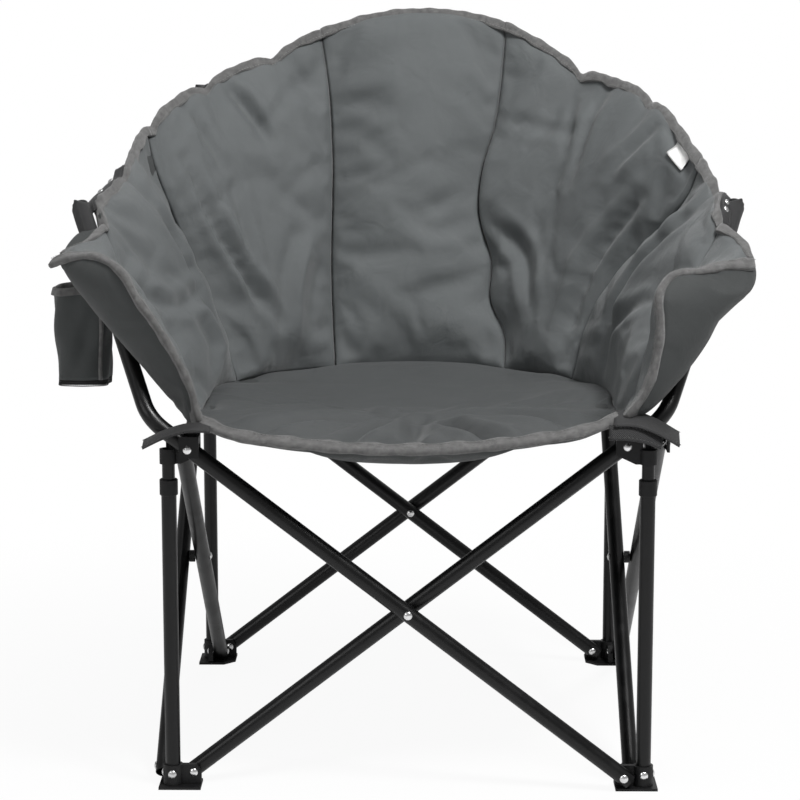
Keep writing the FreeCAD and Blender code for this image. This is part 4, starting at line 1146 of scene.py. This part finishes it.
# Straps from the back pockets to the pads, and tabs from the hubs to the bowl's corners
backStraps = [
    {"name": "backStrapLeft",
     "path": [(-0.279, 0.312, 0.772), (-0.272, 0.296, 0.776), (-0.262, 0.276, 0.776)],
     "across": (0, 0.1, 1), "half": 0.014, "group": "rearLeft", "node": "pole_pockets"},
    {"name": "backStrapRight",
     "path": [(0.279, 0.312, 0.772), (0.272, 0.29, 0.772), (0.27, 0.262, 0.77)],
     "across": (0, 0.1, 1), "half": 0.014, "group": "rearRight", "node": "pole_pockets"},
    {"name": "rearTabLeft",
     "path": [(-0.158, 0.148, 0.4215), (-0.2, 0.192, 0.4215), (-0.25, 0.244, 0.4215)],
     "across": (0.7, 0.7, 0), "half": 0.016, "group": "rearLeft", "node": "corner_tabs"},
    {"name": "rearTabRight",
     "path": [(0.158, 0.148, 0.4215), (0.2, 0.192, 0.4215), (0.25, 0.244, 0.4215)],
     "across": (0.7, -0.7, 0), "half": 0.016, "group": "rearRight", "node": "corner_tabs"},
    {"name": "frontTabLeft",
     "path": [(-0.222, -0.313, 0.432), (-0.246, -0.314, 0.4325), (-0.272, -0.314, 0.4255),
              (-0.298, -0.312, 0.413)],
     "across": (0, 1, 0.22), "half": 0.013, "group": "frontLeft", "node": "corner_tabs"},
    {"name": "frontTabRight",
     "path": [(0.232, -0.297, 0.441), (0.256, -0.298, 0.4405), (0.28, -0.298, 0.432), (0.306, -0.296, 0.417)],
     "across": (0, 1, 0.3), "half": 0.02, "group": "frontRight", "node": "corner_tabs"},
    {"name": "frontRollRight",
     "path": [(0.226, -0.314, 0.428), (0.25, -0.316, 0.4275), (0.27, -0.314, 0.423), (0.286, -0.311, 0.416)],
     "across": (0, 0.5, 1), "half": 0.009, "group": "frontRight", "node": "corner_tabs"},
]
for entry in backStraps:
    band(entry["name"], entry["path"], entry["across"], entry["half"], webbing["thick"], blackWebbing,
         entry["group"], entry["node"])
print("straps and tabs made")

# Cup holder: a square-cornered pouch with a taped mouth, a taped seam, a net floor and a hanging flap
cup = {"centre": (-0.391, -0.1007), "low": 0.449, "high": 0.566, "half": (0.0335, 0.0325), "taper": 0.92,
       "square": 3.4, "thick": 0.0012, "sides": 72, "levels": 26, "clothFrom": 0.06, "girth": 0.24,
       "girthAt": 9, "mouthLean": 0.1, "sag": 0.0016, "ripple": 0.001, "hemSize": 0.62, "seamSize": 0.5,
       "seamAt": 0.87, "flapTop": (-0.366, -0.1007, 0.655), "flapHalf": 0.022, "flapDown": 0.012,
       "flapIn": 0.004, "flapUp": 0.03}


def cupRing(height, inset):
    turns = np.linspace(0, math.tau, cup["sides"], endpoint=False)
    c, s = np.cos(turns), np.sin(turns)
    flat = (np.abs(c) ** cup["square"] + np.abs(s) ** cup["square"]) ** (-1 / cup["square"])
    size = cup["taper"] + (1 - cup["taper"]) * height
    sag = cup["sag"] * np.sin(3 * turns + 5 * height) * np.sin(math.pi * height)
    sag = sag + cup["ripple"] * np.sin(7 * turns - 9 * height)
    x = cup["centre"][0] + c * flat * (cup["half"][0] * size - inset + sag)
    y = cup["centre"][1] + s * flat * (cup["half"][1] * size - inset + sag)
    lean = cup["mouthLean"] * (x - cup["centre"][0]) * height
    z = cup["low"] + (cup["high"] - cup["low"]) * height + lean
    return np.stack([x, y, np.broadcast_to(z, x.shape)], axis=-1)


def makeCup():
    tall = cup["high"] - cup["low"]
    heights = np.linspace(cup["clothFrom"], 1, cup["levels"])
    outer = [cupRing(height, 0) for height in heights]
    inner = [cupRing(height, cup["thick"]) for height in heights]
    rings = np.array(outer + inner[::-1])
    index = np.arange(len(rings) * cup["sides"]).reshape(-1, cup["sides"])
    girth = np.linspace(0, cup["girth"], cup["sides"])
    rise = np.concatenate([heights, heights[::-1]]) * tall
    uv = np.stack(np.broadcast_arrays(girth[None], rise[:, None]), axis=-1).reshape(-1, 2)
    # Pouch in the darker cup copy of the oxford: painted shade
    pouch = meshObject("cupPouch", rings.reshape(-1, 3), ringQuads(index, True), paintedShadeCupOxford, uv)
    attach(pouch, "frontLeft", "cup_holder")
    tape = np.array(binding["profile"])
    mouth = cupRing(1, cup["thick"] / 2)
    out = unit((mouth - mouth.mean(0)) * np.array([1, 1, 0]))
    hem = sweep("cupHem", mouth, out, np.array([0, 0, 1.0]), tape * cup["hemSize"], warmTape, ring=True)
    attach(hem, "frontLeft", "cup_holder")
    corner = int(cup["sides"] * cup["seamAt"])
    line = np.array([ring[corner] for ring in outer])
    out = unit((line - np.array([*cup["centre"], 0])) * np.array([1, 1, 0]))
    seam = sweep("cupSeamTape", line, np.cross(out, (0, 0, 1.0)), out, tape * cup["seamSize"], warmTape)
    attach(seam, "frontLeft", "cup_holder")
    x, y = cup["centre"][0] + cup["half"][0], cup["centre"][1]
    flap = np.array([(x, y, cup["high"] - cup["flapDown"]),
                     (x - cup["flapIn"], y, cup["high"] + cup["flapUp"]), cup["flapTop"]])
    # Flap in the same darker cup copy: painted shade
    band("cupFlap", flap, (0, 1, 0), cup["flapHalf"], cup["thick"], paintedShadeCupOxford, "frontLeft", "cup_holder")


# Net floor of the cup holder: crossed threads with a round section, and a net band up to the cloth
net = {"lines": 17, "steps": 9, "share": 0.9, "lift": 0.002, "under": 0.0005, "inset": 0.0008,
       "radius": 0.0006, "rings": (0.0, 0.02, 0.04, 0.065), "ribs": (0.0, 0.035, 0.07)}


def makeNetGroup():
    group, given, result = newGroup(
        "netThreads",
        [("Mesh", "NodeSocketGeometry", None), ("Radius", "NodeSocketFloat", 0.0006),
         ("Finish", "NodeSocketMaterial", None)],
        [("Net", "NodeSocketGeometry")], "GeometryNodeTree")
    link = group.links.new
    curve = addNode(group, "GeometryNodeMeshToCurve")
    ring = addNode(group, "GeometryNodeCurvePrimitiveCircle", Resolution=6)
    tube = addNode(group, "GeometryNodeCurveToMesh", Fill_Caps=True)
    link(given.outputs["Mesh"], curve.inputs["Mesh"])
    link(given.outputs["Radius"], ring.inputs["Radius"])
    link(curve.outputs["Curve"], tube.inputs["Curve"])
    link(ring.outputs["Curve"], tube.inputs["Profile Curve"])
    return paintReal(group, tube.outputs["Mesh"], given.outputs["Finish"], result)


netGroup = makeNetGroup()


def makeNet():
    verts, edges = [], []
    half = cup["half"][0] * cup["taper"] * net["share"]
    floor = np.array([*cup["centre"], cup["low"] + net["lift"]])
    for axis in (0, 1):
        for offset in np.linspace(-half, half, net["lines"]):
            line = np.zeros((net["steps"], 3))
            line[:, axis] = np.linspace(-half, half, net["steps"])
            line[:, 1 - axis] = offset
            line[:, 2] = -net["under"] * axis
            addLine(verts, edges, line + floor)
    for level in net["rings"]:
        addLine(verts, edges, cupRing(level, net["inset"]), closed=True)
    ribs = np.array([cupRing(level, net["inset"]) for level in net["ribs"]])
    for step in range(cup["sides"]):
        addLine(verts, edges, ribs[:, step])
    values = {"Radius": net["radius"], "Finish": blackWebbing}
    attach(throughNodes("cupNet", verts, edges, netGroup, values), "frontLeft", "cup_holder")


makeCup()
makeNet()
print("cup holder made")

# Bare white tab, sewn at the right rim and lying on the pad
tag = {"panel": "backPadRight", "across": (0.83, 0.92), "up": (0.995, 0.915), "cols": 9, "rows": 11,
       "lift": 0.0016, "curl": 0.003, "thick": 0.0004}


def pickField(field, across, up):
    n, m = field.shape[:2]
    part = smoothThrough(np.linspace(0, 1, n), field, across)
    part = smoothThrough(np.linspace(0, 1, m), np.transpose(part, (1, 0, 2)), up)
    return np.transpose(part, (1, 0, 2))


def makeTag():
    piece = wallPieces[tag["panel"]]
    cols, rows = tag["cols"], tag["rows"]
    across, up = np.linspace(*tag["across"], cols), np.linspace(*tag["up"], rows)
    normal = unit(pickField(piece["inward"], across, up))
    away = tag["lift"] + tag["curl"] * np.linspace(0, 1, rows)[None, :, None] ** 2
    face = pickField(piece["inner"], across, up) + normal * away
    front, back = face + normal * tag["thick"], face - normal * tag["thick"]
    count = cols * rows
    index = np.arange(count).reshape(cols, rows)
    quads = gridQuads(index)
    loop = np.concatenate([index[:, 0], index[-1, 1:], index[-2::-1, -1], index[0, -2:0:-1]])
    rim = np.stack([loop, np.roll(loop, -1), np.roll(loop, -1) + count, loop + count], axis=-1)
    faces = np.concatenate([quads[:, ::-1], quads + count, rim])
    verts = np.concatenate([back.reshape(-1, 3), front.reshape(-1, 3)])
    size = (float(np.linalg.norm(face[-1, rows // 2] - face[0, rows // 2])),
            float(np.linalg.norm(face[cols // 2, -1] - face[cols // 2, 0])))
    wide, long = np.linspace(0, size[0], cols), np.linspace(0, size[1], rows)
    flat = np.stack(np.meshgrid(wide, long, indexing="ij"), axis=-1)
    uv = np.concatenate([flat.reshape(-1, 2)] * 2)
    obj = meshObject("labelTab", verts, faces, whiteTape, uv)
    work = bmesh.new()
    work.from_mesh(obj.data)
    bmesh.ops.recalc_face_normals(work, faces=work.faces)
    work.to_mesh(obj.data)
    work.free()
    attach(obj, "backRight", "label_tab")


makeTag()
print("tab made")

# Each solid takes the finish of its slot
finishes = {"frame_tube": powderBlack, "black_plastic": mouldedBlack, "rivet_steel": brightZinc,
            "black_webbing": blackWebbing, "edge_binding": warmTape, "white_tab": whiteTape,
            "grey_oxford": greyOxford}
for part in frame["record"]["subparts"]:
    mesh = frame["nodes"][part["node"]].data
    mesh.materials.clear()
    mesh.materials.append(finishes[part["material_slot"]])
